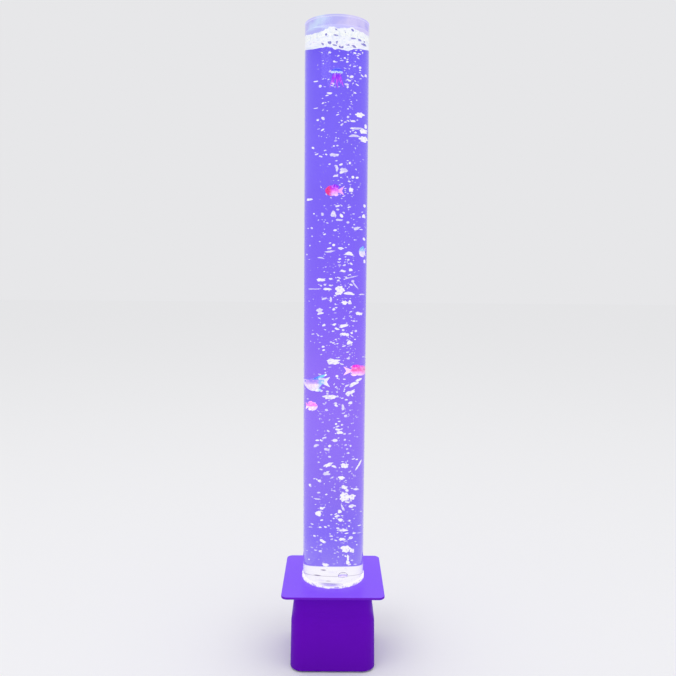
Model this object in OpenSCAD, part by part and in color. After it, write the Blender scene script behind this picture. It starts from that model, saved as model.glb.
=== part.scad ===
// Bubble tube floor lamp, 1.2 m tall: a water column in a clear tube on a square plate and housing.
// Millimetres, +Z up, the front faces -Y. The origin is on the floor, under the middle of the lamp.
// The housing holds an air pump, a light tray and a control board. Six swimming figures ride
// in the column, each in its own upright lane, so that no two can ever meet.

/* [Housing] */
// Width of the housing at its foot
body_w = 163; // [158:1:175]
// How much narrower the body is at the shoulder than at its foot
body_draft = 3; // [0:0.5:6]
// Width of the neck under the top plate
neck_w = 150; // [146:1:158]
// Radius of the neck's upright corners
neck_r = 18; // [12:1:24]
// Height of the housing's top edge over the floor
housing_top = 153; // [148:1:175]
// Height over the floor at which the shoulder starts
shoulder_low = 94; // [90:1:100]
// Height over the floor at which the shoulder has become the neck
shoulder_high = 118; // [112:1:124]
// Thickness of the housing's wall
wall = 3; // [2.4:0.2:3.6]
// Gap between moulded parts that fit into each other
fit_gap = 0.3; // [0.2:0.1:0.5]

/* [Bottom cover and feet] */
// Thickness of the bottom cover
cover_t = 3; // [2:0.5:4]
// Height of the rubber feet under the cover
foot_h = 3; // [2.6:0.2:5]
// Diameter of a rubber foot
foot_d = 20; // [14:1:22]
// Distance from each cover screw to its foot, along X and along Y
foot_step = 10; // [9.5:0.5:14]
// Number of air slots in each of the two groups in the cover
slot_count = 5; // [3:1:6]

/* [Top plate] */
// Width of the square top plate
plate_w = 195; // [180:1:220]
// Thickness of the top plate
plate_t = 5; // [4:0.5:7]
// Radius of the plate's corners
plate_r = 12; // [6:1:20]
// Diameter of the light hole in the plate
light_hole_d = 96; // [92:1:98]
// Depth of the skirt that centres the plate in the neck
skirt_h = 8; // [5:1:12]
// Distance of each plate screw from the middle, along X and along Y
plate_screw_at = 58; // [57:0.5:60]

/* [Tube and cap] */
// Outer diameter of the clear tube
tube_d = 120; // [119:0.5:121]
// Thickness of the tube's wall
tube_wall = 4; // [3:0.5:4.5]
// Length of the clear tube
tube_l = 1050; // [900:10:1400]
// Diameter of the clear base disc that the tube is bonded to
disc_d = 123; // [122:1:130]
// Thickness of the base disc
disc_t = 7; // [6:0.5:10]
// Thickness of the cap's lid
cap_t = 3; // [2:0.5:5]
// Depth of the cap's collar inside the tube
collar_h = 14; // [8:1:20]
// Diameter of the vent hole in the cap
vent_d = 6; // [4:0.5:10]

/* [Light] */
// Depth of the light tray under the plate
tray_h = 13; // [12:0.5:16]
// Distance of the tray screws from the tube's axis
tray_screw_r = 54; // [53.5:0.5:54.5]
// Number of tray screws
tray_screws = 6; // [4:1:8]
// Thickness of the light board
board_t = 1.6; // [1:0.2:2]
// Number of lamps on the light board
led_count = 12; // [6:1:16]
// Distance of the lamps from the middle of the board
led_r = 35; // [34:0.5:37]

/* [Air] */
// Position of the air outlet to the right of the tube's axis
nozzle_x = 14; // [10:1:18]
// Position of the air outlet behind the tube's axis
nozzle_y = 0; // [-2:0.5:2]
// Diameter of the air outlet's threaded stem
stem_d = 8; // [7:0.5:9]
// Outer diameter of the air hose
hose_d = 7; // [6:0.5:7.5]
// Bore of the air hose
hose_bore = 4.4; // [3.6:0.2:4.8]
// Radius of the air hose's bends, along its middle
bend_r = 12; // [10:1:13]

/* [Air pump] */
// Position of the pump to the right of the middle
pump_x = -10; // [-14:1:-6]
// Position of the pump behind the middle
pump_y = -20; // [-24:1:-18]
// Length of the pump's case
pump_l = 96; // [94:1:100]
// Width of the pump's case
pump_w = 56; // [56:1:60]
// Height of the pump's case
pump_h = 48; // [46:1:54]
// Height of the pump's rubber mounts
mount_h = 6; // [4.5:0.5:8]
// Width of the gap between the magnet and the poles
pole_gap = 3.6; // [3.2:0.1:4]

/* [Controls] */
// Height of the socket and the button over the floor
panel_z = 65; // [60:1:70]
// Distance of the socket and of the button from the middle
panel_x = 18; // [16:1:22]
// Diameter of the power button
button_d = 12; // [10:0.5:14]
// Travel of the power button
button_travel = 2; // [1:0.2:2.4]
// Diameter of the low-voltage socket's threaded barrel
jack_d = 8; // [7.6:0.2:10]
// Length of the control board
control_w = 60; // [56:1:66]
// Height of the control board
control_h = 40; // [36:1:44]

/* [Swimming figures] */
// Length of the blue and white fish
cyan_fish_l = 40; // [34:1:41]
// Length of the pink fish
pink_fish_l = 34; // [28:1:35]
// Length of the red fish
red_fish_l = 29; // [24:1:30]
// Length of the blue fish
blue_fish_l = 31; // [26:1:32]
// Length of the pale fish
pale_fish_l = 24; // [20:1:25]
// Diameter of the jellyfish's bell
jelly_d = 20; // [18:1:23]
// Length of the jellyfish from its crown to its tentacle tips
jelly_l = 34; // [30:1:42]

/* [Hidden] */
$fn = 64;
eps = 0.01; // cuts reach this far past the faces they open
run_gap = 0.05; // radial clearance of a shaft or plunger that moves in its bore
thread_gap = 0.05; // radial clearance drawn between a screw and its hole
pass_gap = 0.25; // radial clearance of a hole that a screw or a spigot passes through

// heights over the floor
cover_top = foot_h + cover_t;
plate_top = housing_top + plate_t;
disc_top = plate_top + disc_t;
tube_top = disc_top + tube_l;
tray_floor_z = housing_top - tray_h;

// the housing's outline: the corner centres stay, and the corner radius follows the width
shoulder_w = body_w - body_draft;
corner_c = neck_w / 2 - neck_r;
shoulder_steps = 8;
soft_edge = 1.2; // radius of the moulded parts' outer edges

// screws: thread diameter, head diameter, head height
m3 = [3, 5.6, 2];
m4 = [4, 7, 2.6];
m25 = [2.5, 4.6, 1.8];
bite = [10, 12]; // how deep an M3 and an M4 screw go into their bosses
hole_spare = 2; // a boss's hole is this much deeper than its screw

// the cover's bosses stand inside the corners, and the feet a step nearer to the middle
cover_boss_r = 4;
cover_boss_h = 30;
cover_boss_in = 8.8;
cover_screw_at = corner_c + (half_w(foot_h) - corner_c - wall - cover_boss_in) / sqrt(2);
foot_at = cover_screw_at - foot_step;

// the plate's bosses and the housing's lugs
lug_t = 4;
boss_l = 20;
boss_d = 9;
lug_top = plate_top - plate_t - boss_l;
lug_in = plate_screw_at - boss_d;

// the light tray and board
tray_wall = 2;
tray_r = light_hole_d / 2 - fit_gap;
tray_flange_r = tray_screw_r + m4[1] / 2 + 1.5;
tray_flange_t = 3;
board_post_h = 2;
board_z = tray_floor_z + tray_wall + board_post_h;
board_r = tray_r - tray_wall - 1.5;
board_screw_r = 24;
led_w = 5;
led_h = 1.6;
nozzle_clear_r = 8.5;

// the air outlet
nozzle_seal_t = 1;
nozzle_head_h = 3.5;
nozzle_head_r = 6.5;
nut_af = 12;
nut_h = 4;
stem_low = plate_top - nut_h - 3;
barb_r = hose_bore / 2 - run_gap;
barb_bore_r = 1.3;
nozzle_barb_l = 14;

// the pump: its rubber mounts stand in cups on the cover
pump_z = cover_top + mount_h;
pump_floor_t = 3;
pump_wall = 2;
pump_r = 8;
pump_rim_h = 3;
pump_boss_r = 4;
pump_top = pump_z + pump_h;
pump_in_z = pump_z + pump_floor_t;
pump_screw_at = [pump_l / 2 - 6, pump_w / 2 - 6];
mount_at = [pump_l / 2 - 16, pump_w / 2 - 11];
mount_r = 6;
cup_wall = 1.6;

// the pump's drive: an arm on an upright pin, a magnet at its end and a bellows half way
arm_pivot = [12 - pump_l / 2, 5];
arm_pin_r = 2;
arm_hub_r = 4.5;
arm_t = 3;
arm_z = pump_in_z + 16;
arm_h = 9;
arm_l = pump_l - 30;
magnet = [12, 4, 12];
core_leg = 4;
core_l = 24;
core_back = 6;
core_d = 21;
bellows_x = -2;
bellows_l = 6.5;
bellows_r = 10.5;
pole_y = arm_pivot[1] - arm_t / 2 - magnet[1] - pole_gap;
core_low = arm_z + (arm_h - magnet[2]) / 2;
chamber_y = arm_pivot[1] + arm_t / 2 + bellows_l;
chamber_d = pump_w / 2 - pump_wall - chamber_y - 0.5;
outlet_z = arm_z + arm_h / 2 + 6;
outlet_l = 11;

// the hoses: out of the pump's rear, up through the check valve, over and up to the air outlet
outlet_x = pump_x + bellows_x;
outlet_y = pump_y + pump_w / 2 + outlet_l;
valve_y = outlet_y + 2 + bend_r;
valve_r = 7;
valve_l = 18;
valve_barb = 9;
valve_low = outlet_z + bend_r + 2;
valve_z = valve_low + valve_barb;
valve_high = valve_z + valve_l;
hose_run = norm([nozzle_x - outlet_x, nozzle_y - valve_y]);
hose_turn = atan2(nozzle_y - valve_y, nozzle_x - outlet_x);
hose_rise = valve_high + valve_barb;
hose_top = stem_low - 1;

// the rear panel: a flat recess outside and a flat pad inside
panel_half = [34, 14];
panel_recess = 1;
panel_y = half_w(panel_z + panel_half[1]) - panel_recess;
panel_in_y = panel_y - wall;
control_gap = 11;
control_y = panel_in_y - control_gap;
control_low = panel_z - control_h / 2;
standoff_at = [control_w / 2 - 4, control_h / 2 - 4];
button_proud = button_travel + 0.5;
button_flange_t = 1.5;
plunger_d = 4;
switch_h = 5;
plunger_in = 2;
jack_flange_t = 2;
jack_nut_t = 2.5;

// the leads: up from the control board to the light board, and down from it to the pump
lead_r = 1.6;
lead_bend = 8;
lead_y = control_y - board_t - 6;
led_lead_x = 8;
led_lead_y = 26;
led_plug_z = control_low + control_h - 4;
led_over_z = tray_floor_z - 4 - lead_bend;
pump_lead_x = 17;
pump_lead_z = pump_in_z + 11;
pump_plug_z = control_low + 4;
plug_size = [10, 12, 6];

// the cap
tube_in_r = tube_d / 2 - tube_wall;
collar_gap = 0.4;
collar_t = 2.5;

// the water and the lanes: where each figure floats when the lamp runs
water_top = tube_top - 34;
fish_w = 11;
lane_gap = 3.5;

// upright lanes, as places of each figure's middle in plan; each keeps clear of the tube's wall.
// The three upper figures keep to the water's surface, and the three lower ones to the disc
under_surface = [61, 269, 381];
over_disc = [407, 382, 340];
swim_r = tube_in_r - lane_gap;
side_r = swim_r - 6.5; // how far a fish beside the tube's middle plane can reach
jelly_at = [0, jelly_d / 2 + 5 - swim_r, water_top - under_surface[0]];
red_fish_at = [-2, -14, water_top - under_surface[1]];
blue_fish_at = [swim_r - 3 - fish_w / 2, -9, water_top - under_surface[2]];
pink_fish_at = [side_r - pink_fish_l / 2, 15, disc_top + over_disc[0]];
cyan_fish_at = [cyan_fish_l / 2 - side_r, 15, disc_top + over_disc[1]];
pale_fish_at = [pale_fish_l / 2 + 2.5 - swim_r, -11, disc_top + over_disc[2]];

// each node's name

// ---- shared shapes ----

// half the housing's width at height z, with an S-curve for the shoulder
function ease(t) = t * t * (3 - 2 * t);
function half_w(z) =
    z <= shoulder_low
        ? (body_w + (shoulder_w - body_w) * (z - foot_h) / (shoulder_low - foot_h)) / 2
        : z >= shoulder_high
            ? neck_w / 2
            : (shoulder_w + (neck_w - shoulder_w)
                * ease((z - shoulder_low) / (shoulder_high - shoulder_low))) / 2;

// heights at which the housing's outline bends, between low and high
function outline_z(low, high) = concat(
    [low],
    [for (i = [0 : shoulder_steps])
        let (z = shoulder_low + (shoulder_high - shoulder_low) * i / shoulder_steps)
        if (z > low && z < high) z],
    [high]
);

// a quarter round: how far it draws in and how high it is, from the face it stands on upwards
function quarter_round(r) = [for (a = [0 : 22.5 : 90]) [r - r * sin(a), r - r * cos(a)]];

// a solid of the housing's outline, drawn in by inset, with its lower edge rounded by edge
module housing_form(inset, low, high, edge = 0) {
    levels = outline_z(low + edge, high);
    foot = half_w(low + edge) - inset;
    side = concat(
        edge > 0 ? [for (p = quarter_round(edge)) [foot - p[0], low + p[1]]] : [[foot, low]],
        [for (i = [1 : len(levels) - 1]) [half_w(levels[i]) - inset, levels[i]]]
    );
    last = len(side) - 1;
    across = concat(side, [for (i = [last : -1 : 0]) [-side[i][0], side[i][1]]]);
    corner = concat(
        [[0, high], [0, low]],
        [for (p = side) [p[0] - corner_c, p[1]]]
    );
    for (turn = [0, 90])
        rotate([90, 0, turn])
            linear_extrude(2 * corner_c, center = true)
                polygon(across);
    for (x = [-corner_c, corner_c], y = [-corner_c, corner_c])
        translate([x, y, 0])
            rotate_extrude()
                polygon(corner);
}

// a square slab with rounded corners, and with its outer edges rounded above and below
module soft_slab(w, r, low, high, edge) {
    round = quarter_round(edge);
    last = len(round) - 1;
    side = concat(
        [for (p = round) [w / 2 - p[0], low + p[1]]],
        [for (i = [last : -1 : 0]) [w / 2 - round[i][0], high - round[i][1]]]
    );
    across = concat(side, [for (i = [len(side) - 1 : -1 : 0]) [-side[i][0], side[i][1]]]);
    corner = concat([[0, high], [0, low]], [for (p = side) [p[0] - w / 2 + r, p[1]]]);
    for (turn = [0, 90])
        rotate([90, 0, turn])
            linear_extrude(w - 2 * r, center = true)
                polygon(across);
    four([w / 2 - r, w / 2 - r])
        rotate_extrude()
            polygon(corner);
}

module rounded_square(w, r) {
    square([w, w - 2 * r], center = true);
    square([w - 2 * r, w], center = true);
    for (x = [-1, 1], y = [-1, 1])
        translate([x, y] * (w / 2 - r))
            circle(r);
}

module rounded_box(l, w, h, r) {
    linear_extrude(h) {
        square([l, w - 2 * r], center = true);
        square([l - 2 * r, w], center = true);
        for (x = [-1, 1], y = [-1, 1])
            translate([x * (l / 2 - r), y * (w / 2 - r)])
                circle(r);
    }
}

module four(at) {
    for (x = [-1, 1], y = [-1, 1])
        translate([x * at[0], y * at[1], 0])
            children();
}

module ring(r_out, r_in, low, high) {
    translate([0, 0, low])
        difference() {
            cylinder(r = r_out, h = high - low);
            translate([0, 0, -eps])
                cylinder(r = r_in, h = high - low + 2 * eps);
        }
}

// a pan-head screw that points up from its seat at z = 0, with a cross recess in its head
module screw(size, length) {
    head_r = size[1] / 2;
    head_h = size[2];
    difference() {
        union() {
            cylinder(d = size[0], h = length);
            rotate_extrude()
                intersection() {
                    translate([0, -head_h])
                        square([head_r, head_h]);
                    translate([0, 1.1 * head_r - head_h])
                        circle(1.1 * head_r);
                }
        }
        for (turn = [0, 90])
            rotate(turn)
                translate([-head_r / 2, -0.4, -head_h - eps])
                    cube([head_r, 0.8, head_h / 2]);
    }
}

// a quarter bend in the XZ plane: it starts at the origin along +Z and ends along +X
module quarter_bend(r_bend, r_out, r_in) {
    translate([r_bend, 0, 0])
        rotate([90, 0, 180])
            rotate_extrude(angle = 90)
                translate([r_bend, 0])
                    difference() {
                        circle(r_out);
                        if (r_in > 0) circle(r_in);
                    }
}

module pipe(r_out, r_in, length) {
    difference() {
        cylinder(r = r_out, h = length);
        if (r_in > 0)
            translate([0, 0, -eps])
                cylinder(r = r_in, h = length + 2 * eps);
    }
}

// a closed solid through rings of points, all rings with the same number of points
module loft(rings) {
    n = len(rings[0]);
    last = len(rings) - 1;
    points = [for (ring_i = rings, p = ring_i) p];
    sides = [for (k = [0 : last - 1], i = [0 : n - 1])
        let (a = k * n + i, b = k * n + (i + 1) % n)
        each [[a, b + n, b], [a, a + n, b + n]]];
    foot = [for (i = [1 : n - 2]) [0, i, i + 1]];
    crown = [for (i = [1 : n - 2]) [last * n, last * n + i + 1, last * n + i]];
    polyhedron(points, concat(sides, foot, crown));
}

// ---- housing ----

module housing() {
    color([0.36, 0.01, 0.68])
        difference() {
            union() {
                difference() {
                    housing_form(0, foot_h, housing_top, soft_edge);
                    housing_form(wall, foot_h - eps, housing_top + eps);
                }
                intersection() {
                    housing_form(wall / 2, foot_h, housing_top);
                    union() {
                        plate_lugs();
                        cover_bosses();
                        panel_pad();
                    }
                }
                standoffs();
            }
            four([plate_screw_at, plate_screw_at])
                translate([0, 0, lug_top - lug_t - eps])
                    cylinder(r = m4[0] / 2 + pass_gap, h = lug_t + 2 * eps);
            four([cover_screw_at, cover_screw_at])
                translate([0, 0, cover_top - eps])
                    cylinder(r = m3[0] / 2 + thread_gap, h = bite[0] + hole_spare);
            rear_openings();
        }
}

// corner shelves on which the plate's bosses stand
module plate_lugs() {
    for (turn = [0 : 90 : 270])
        rotate(turn)
            translate([lug_in, lug_in, lug_top - lug_t])
                cube([neck_w, neck_w, lug_t]);
}

// corner columns that take the cover's screws, each with a rib to its corner
module cover_bosses() {
    for (turn = [0 : 90 : 270])
        rotate(turn) {
            translate([cover_screw_at, cover_screw_at, cover_top])
                cylinder(r = cover_boss_r, h = cover_boss_h);
            translate([cover_screw_at, cover_screw_at, cover_top])
                rotate(45)
                    translate([0, -wall * 0.4, 0])
                        cube([body_w / 4, wall * 0.8, cover_boss_h]);
        }
}

module panel_pad() {
    translate([-panel_half[0], panel_in_y, panel_z - panel_half[1]])
        cube([2 * panel_half[0], 2 * wall, 2 * panel_half[1]]);
}

// posts for the control board, from the pad or the rear wall to the board's rear face
module standoffs() {
    for (x = [-1, 1], z = [-1, 1])
        translate([x * standoff_at[0], control_y, panel_z + z * standoff_at[1]])
            rotate([-90, 0, 0])
                difference() {
                    cylinder(d = 6, h = control_gap + 1.5);
                    translate([0, 0, -eps])
                        cylinder(r = m25[0] / 2 + thread_gap, h = 8);
                }
}

module rear_openings() {
    translate([-panel_half[0] + wall, panel_y, panel_z - panel_half[1] + wall])
        cube([2 * (panel_half[0] - wall), body_w, 2 * (panel_half[1] - wall)]);
    translate([panel_x, panel_in_y - eps, panel_z])
        rotate([-90, 0, 0])
            cylinder(r = button_d / 2 + run_gap, h = wall + 2 * eps);
    translate([-panel_x, panel_in_y - eps, panel_z])
        rotate([-90, 0, 0])
            cylinder(r = jack_d / 2 + thread_gap, h = wall + 2 * eps);
}

// ---- bottom cover, feet and screws ----

module bottom_cover() {
    cover_w = 2 * (half_w(foot_h) - wall - fit_gap);
    cover_r = cover_w / 2 - corner_c;
    color([0.12, 0.11, 0.14])
        translate([0, 0, foot_h])
            difference() {
                union() {
                    linear_extrude(cover_t)
                        rounded_square(cover_w, cover_r);
                    translate([pump_x, pump_y, 0])
                        four(mount_at)
                            cylinder(r = mount_r + cup_wall, h = cover_t + 2.5);
                }
                translate([pump_x, pump_y, cover_t])
                    four(mount_at)
                        cylinder(r = mount_r + thread_gap, h = 2.5 + eps);
                translate([0, 0, -eps]) {
                    four([foot_at, foot_at])
                        cylinder(r = foot_d / 5 + thread_gap, h = cover_t + 2 * eps);
                    four([cover_screw_at, cover_screw_at])
                        cylinder(r = m3[0] / 2 + pass_gap, h = cover_t + 2 * eps);
                    air_slots();
                }
            }
}

// two groups of rounded slots through which the pump draws air
module air_slots() {
    pitch = 7;
    for (side = [-1, 1], i = [0 : slot_count - 1])
        translate([side * 22, 30 + (i - (slot_count - 1) / 2) * pitch, 0])
            linear_extrude(cover_t + 2 * eps) {
                square([22, 3], center = true);
                for (end = [-11, 11])
                    translate([end, 0])
                        circle(1.5);
            }
}

// push-in bumpers: a pad, a neck in the cover's hole and a barb over it
module rubber_feet() {
    neck_r = foot_d / 5;
    color([0.06, 0.06, 0.07])
        four([foot_at, foot_at])
            rotate_extrude()
                polygon([
                    [0, 0], [foot_d / 2 - 1.5, 0], [foot_d / 2, 1.5], [foot_d / 2, foot_h],
                    [neck_r, foot_h], [neck_r, cover_top], [neck_r + 1.2, cover_top],
                    [neck_r - 0.8, cover_top + 2.5], [0, cover_top + 2.5]
                ]);
}

module cover_screws() {
    color([0.7, 0.7, 0.72])
        four([cover_screw_at, cover_screw_at])
            translate([0, 0, foot_h])
                screw(m3, cover_t + bite[0]);
}

// ---- top plate ----

module top_plate() {
    skirt_w = 2 * (neck_w / 2 - wall - fit_gap);
    skirt_r = neck_r - wall - fit_gap;
    color([0.55, 0.38, 0.98])
        difference() {
            union() {
                soft_slab(plate_w, plate_r, housing_top, plate_top, soft_edge);
                translate([0, 0, housing_top - skirt_h])
                    difference() {
                        linear_extrude(skirt_h)
                            rounded_square(skirt_w, skirt_r);
                        translate([0, 0, -eps])
                            linear_extrude(skirt_h + eps)
                                rounded_square(skirt_w - 5, skirt_r - 2.5);
                    }
                four([plate_screw_at, plate_screw_at])
                    translate([0, 0, lug_top])
                        cylinder(d = boss_d, h = boss_l);
            }
            translate([0, 0, housing_top - eps]) {
                cylinder(d = light_hole_d, h = plate_t + 2 * eps);
                tray_screw_places()
                    cylinder(r = m4[0] / 2 + pass_gap, h = plate_t + 2 * eps);
            }
            four([plate_screw_at, plate_screw_at])
                translate([0, 0, lug_top - eps])
                    cylinder(r = m4[0] / 2 + thread_gap, h = bite[1] + hole_spare);
        }
}

module plate_screws() {
    color([0.7, 0.7, 0.72])
        four([plate_screw_at, plate_screw_at])
            translate([0, 0, lug_top - lug_t])
                screw(m4, lug_t + bite[1]);
}

module tray_screw_places() {
    for (i = [0 : tray_screws - 1])
        rotate(360 / tray_screws * (i + 0.5))
            translate([tray_screw_r, 0, 0])
                children();
}

// ---- light tray and light board ----

module light_tray() {
    color([0.93, 0.93, 0.95])
        difference() {
            union() {
                ring(tray_flange_r, tray_r - tray_wall, housing_top - tray_flange_t, housing_top);
                ring(tray_r, tray_r - tray_wall, tray_floor_z, plate_top - 1);
                translate([0, 0, tray_floor_z])
                    cylinder(r = tray_r, h = tray_wall);
                board_posts()
                    cylinder(r = 3, h = tray_wall + board_post_h);
            }
            translate([0, 0, housing_top - tray_flange_t - eps])
                tray_screw_places()
                    cylinder(r = m4[0] / 2 + pass_gap, h = tray_flange_t + 2 * eps);
            board_posts()
                translate([0, 0, -eps])
                    cylinder(r = m25[0] / 2 + thread_gap, h = 20);
            translate([nozzle_x, nozzle_y, tray_floor_z - eps])
                cylinder(r = hose_d / 2 + 1, h = tray_wall + 2 * eps);
            translate([led_lead_x, led_lead_y, tray_floor_z - eps])
                cylinder(r = lead_r + fit_gap, h = tray_wall + 2 * eps);
        }
}

module board_posts() {
    for (turn = [90 : 120 : 330])
        rotate(turn)
            translate([board_screw_r, 0, tray_floor_z])
                children();
}

module light_board() {
    color([0.9, 0.92, 0.9])
        translate([0, 0, board_z])
            difference() {
                cylinder(r = board_r, h = board_t);
                translate([nozzle_x, nozzle_y, -eps])
                    cylinder(r = nozzle_clear_r, h = board_t + 2 * eps);
                translate([0, 0, -board_z])
                    board_posts()
                        cylinder(r = m25[0] / 2 + pass_gap, h = tray_h);
            }
}

// square lamp packages, each with a round lens well
module lamps() {
    color([0.98, 0.95, 0.8])
        for (i = [0 : led_count - 1])
            rotate(360 / led_count * i)
                translate([led_r, 0, board_z + board_t])
                    difference() {
                        translate([-led_w / 2, -led_w / 2, 0])
                            cube([led_w, led_w, led_h]);
                        translate([0, 0, led_h / 2])
                            cylinder(d = led_w - 1.4, h = led_h);
                    }
}

module board_screws() {
    color([0.7, 0.7, 0.72])
        board_posts()
            translate([0, 0, tray_wall + board_post_h + board_t])
                rotate([180, 0, 0])
                    screw(m25, 5);
}

module tray_screws() {
    color([0.7, 0.7, 0.72])
        tray_screw_places()
            translate([0, 0, housing_top - tray_flange_t])
                screw(m4, tray_flange_t + plate_t + disc_t - 2.5);
}

// ---- leads ----

// from the control board up, towards the middle and up into the light tray
module led_lead() {
    color([0.1, 0.1, 0.12]) {
        translate([led_lead_x, lead_y, led_plug_z])
            pipe(lead_r, 0, led_over_z - lead_bend - led_plug_z);
        translate([led_lead_x, lead_y, led_over_z - lead_bend])
            rotate(-90)
                quarter_bend(lead_bend, lead_r, 0);
        translate([led_lead_x, lead_y - lead_bend, led_over_z])
            rotate([90, 0, 0])
                pipe(lead_r, 0, lead_y - led_lead_y - 2 * lead_bend);
        translate([led_lead_x, led_lead_y, led_over_z + lead_bend])
            rotate([180, 0, 90])
                quarter_bend(lead_bend, lead_r, 0);
        translate([led_lead_x, led_lead_y, led_over_z + lead_bend])
            pipe(lead_r, 0, board_z - led_over_z - lead_bend);
    }
}

// from the control board down and forward, through the pump's rear wall
module pump_lead() {
    wall_y = pump_y + pump_w / 2;
    color([0.1, 0.1, 0.12]) {
        translate([pump_lead_x, lead_y, pump_lead_z + lead_bend])
            pipe(lead_r, 0, pump_plug_z - pump_lead_z - lead_bend);
        translate([pump_lead_x, lead_y, pump_lead_z + lead_bend])
            rotate([180, 0, -90])
                quarter_bend(lead_bend, lead_r, 0);
        translate([pump_lead_x, lead_y - lead_bend, pump_lead_z])
            rotate([90, 0, 0])
                pipe(lead_r, 0, lead_y - lead_bend - wall_y + pump_wall + 4);
    }
}

// ---- base disc, tube and cap ----

module base_disc() {
    edge = 0.8;
    color([0.9, 0.92, 1, 0.6])
        translate([0, 0, plate_top])
            difference() {
                rotate_extrude()
                    polygon([
                        [0, 0], [disc_d / 2, 0], [disc_d / 2, disc_t - edge],
                        [disc_d / 2 - edge, disc_t], [0, disc_t]
                    ]);
                translate([nozzle_x, nozzle_y, -eps])
                    cylinder(r = stem_d / 2 + thread_gap, h = disc_t + 2 * eps);
                tray_screw_places()
                    translate([0, 0, -eps])
                        cylinder(r = m4[0] / 2 + thread_gap, h = disc_t - 1.5);
            }
}

module tube() {
    color([0.85, 0.88, 1, 0.35])
        ring(tube_d / 2, tube_in_r, disc_top, tube_top);
}

// a lid that rests on the tube's rim, with a collar inside the tube and a vent hole
module top_cap() {
    edge = 1;
    lid_r = tube_d / 2;
    collar_r = tube_in_r - collar_gap;
    color([0.85, 0.84, 0.98, 0.6])
        translate([0, 0, tube_top])
            difference() {
                rotate_extrude()
                    polygon(concat(
                        [[0, 0], [collar_r - collar_t, 0], [collar_r - collar_t, -collar_h],
                         [collar_r - 0.6, -collar_h], [collar_r, 0.8 - collar_h],
                         [collar_r, 0], [lid_r, 0]],
                        [for (a = [0 : 15 : 90])
                            [lid_r - edge + edge * cos(a), cap_t - edge + edge * sin(a)]],
                        [[0, cap_t]]
                    ));
                translate([0, 0, -eps])
                    cylinder(d = vent_d, h = cap_t + 2 * eps);
            }
}

// ---- air outlet ----

// a threaded stem through the base disc, with a domed head above and a hose barb below
module air_nozzle() {
    head_z = disc_top + nozzle_seal_t;
    dome_r = 12;
    color([0.2, 0.2, 0.24])
        translate([nozzle_x, nozzle_y, 0])
            difference() {
                union() {
                    translate([0, 0, head_z])
                        intersection() {
                            cylinder(r = nozzle_head_r, h = nozzle_head_h);
                            translate([0, 0, nozzle_head_h - dome_r])
                                sphere(dome_r, $fn = 96);
                        }
                    translate([0, 0, stem_low])
                        cylinder(d = stem_d, h = head_z - stem_low + 1);
                    translate([0, 0, stem_low - nozzle_barb_l])
                        cylinder(r = barb_r, h = nozzle_barb_l + 1);
                }
                translate([0, 0, stem_low - nozzle_barb_l - eps])
                    cylinder(r = barb_bore_r, h = head_z - stem_low + nozzle_barb_l + 2);
                for (turn = [0 : 60 : 300])
                    rotate(turn)
                        translate([2.8, 0, head_z + 1])
                            rotate([0, -35, 0])
                                translate([0, 0, -2])
                                    cylinder(r = 0.5, h = 8, $fn = 24);
            }
}

module nozzle_seal() {
    color([0.08, 0.08, 0.08])
        translate([nozzle_x, nozzle_y, 0])
            ring(nozzle_head_r, stem_d / 2 + thread_gap, disc_top, disc_top + nozzle_seal_t);
}

module nozzle_nut() {
    color([0.2, 0.2, 0.24])
        translate([nozzle_x, nozzle_y, plate_top - nut_h])
            hex_nut(nut_af, stem_d / 2 + thread_gap, nut_h);
}

module hex_nut(across_flats, bore_r, thick) {
    difference() {
        cylinder(d = across_flats / cos(30), h = thick, $fn = 6);
        translate([0, 0, -eps])
            cylinder(r = bore_r, h = thick + 2 * eps);
    }
}

// ---- hoses and check valve ----

// from the pump's outlet back, and up to the check valve
module lower_hose() {
    hose_r = hose_d / 2;
    start_y = pump_y + pump_w / 2 + 1;
    color([0.75, 0.78, 0.8]) {
        translate([outlet_x, start_y, outlet_z])
            rotate([-90, 0, 0])
                pipe(hose_r, hose_bore / 2, valve_y - bend_r - start_y);
        translate([outlet_x, valve_y, outlet_z + bend_r])
            rotate([180, 0, -90])
                quarter_bend(bend_r, hose_r, hose_bore / 2);
        translate([outlet_x, valve_y, outlet_z + bend_r])
            pipe(hose_r, hose_bore / 2, valve_z - outlet_z - bend_r - 0.5);
    }
}

// from the check valve up, across under the light tray and up to the air outlet
module upper_hose() {
    hose_r = hose_d / 2;
    over_z = hose_rise + 1.5 + bend_r;
    color([0.75, 0.78, 0.8])
        translate([outlet_x, valve_y, 0])
            rotate(hose_turn) {
                translate([0, 0, valve_high + 0.5])
                    pipe(hose_r, hose_bore / 2, over_z - bend_r - valve_high - 0.5);
                translate([0, 0, over_z - bend_r])
                    quarter_bend(bend_r, hose_r, hose_bore / 2);
                translate([bend_r, 0, over_z])
                    rotate([0, 90, 0])
                        pipe(hose_r, hose_bore / 2, hose_run - 2 * bend_r);
                translate([hose_run, 0, over_z + bend_r])
                    rotate([180, 0, 180])
                        quarter_bend(bend_r, hose_r, hose_bore / 2);
                translate([hose_run, 0, over_z + bend_r])
                    pipe(hose_r, hose_bore / 2, hose_top - over_z - bend_r);
            }
}

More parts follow.
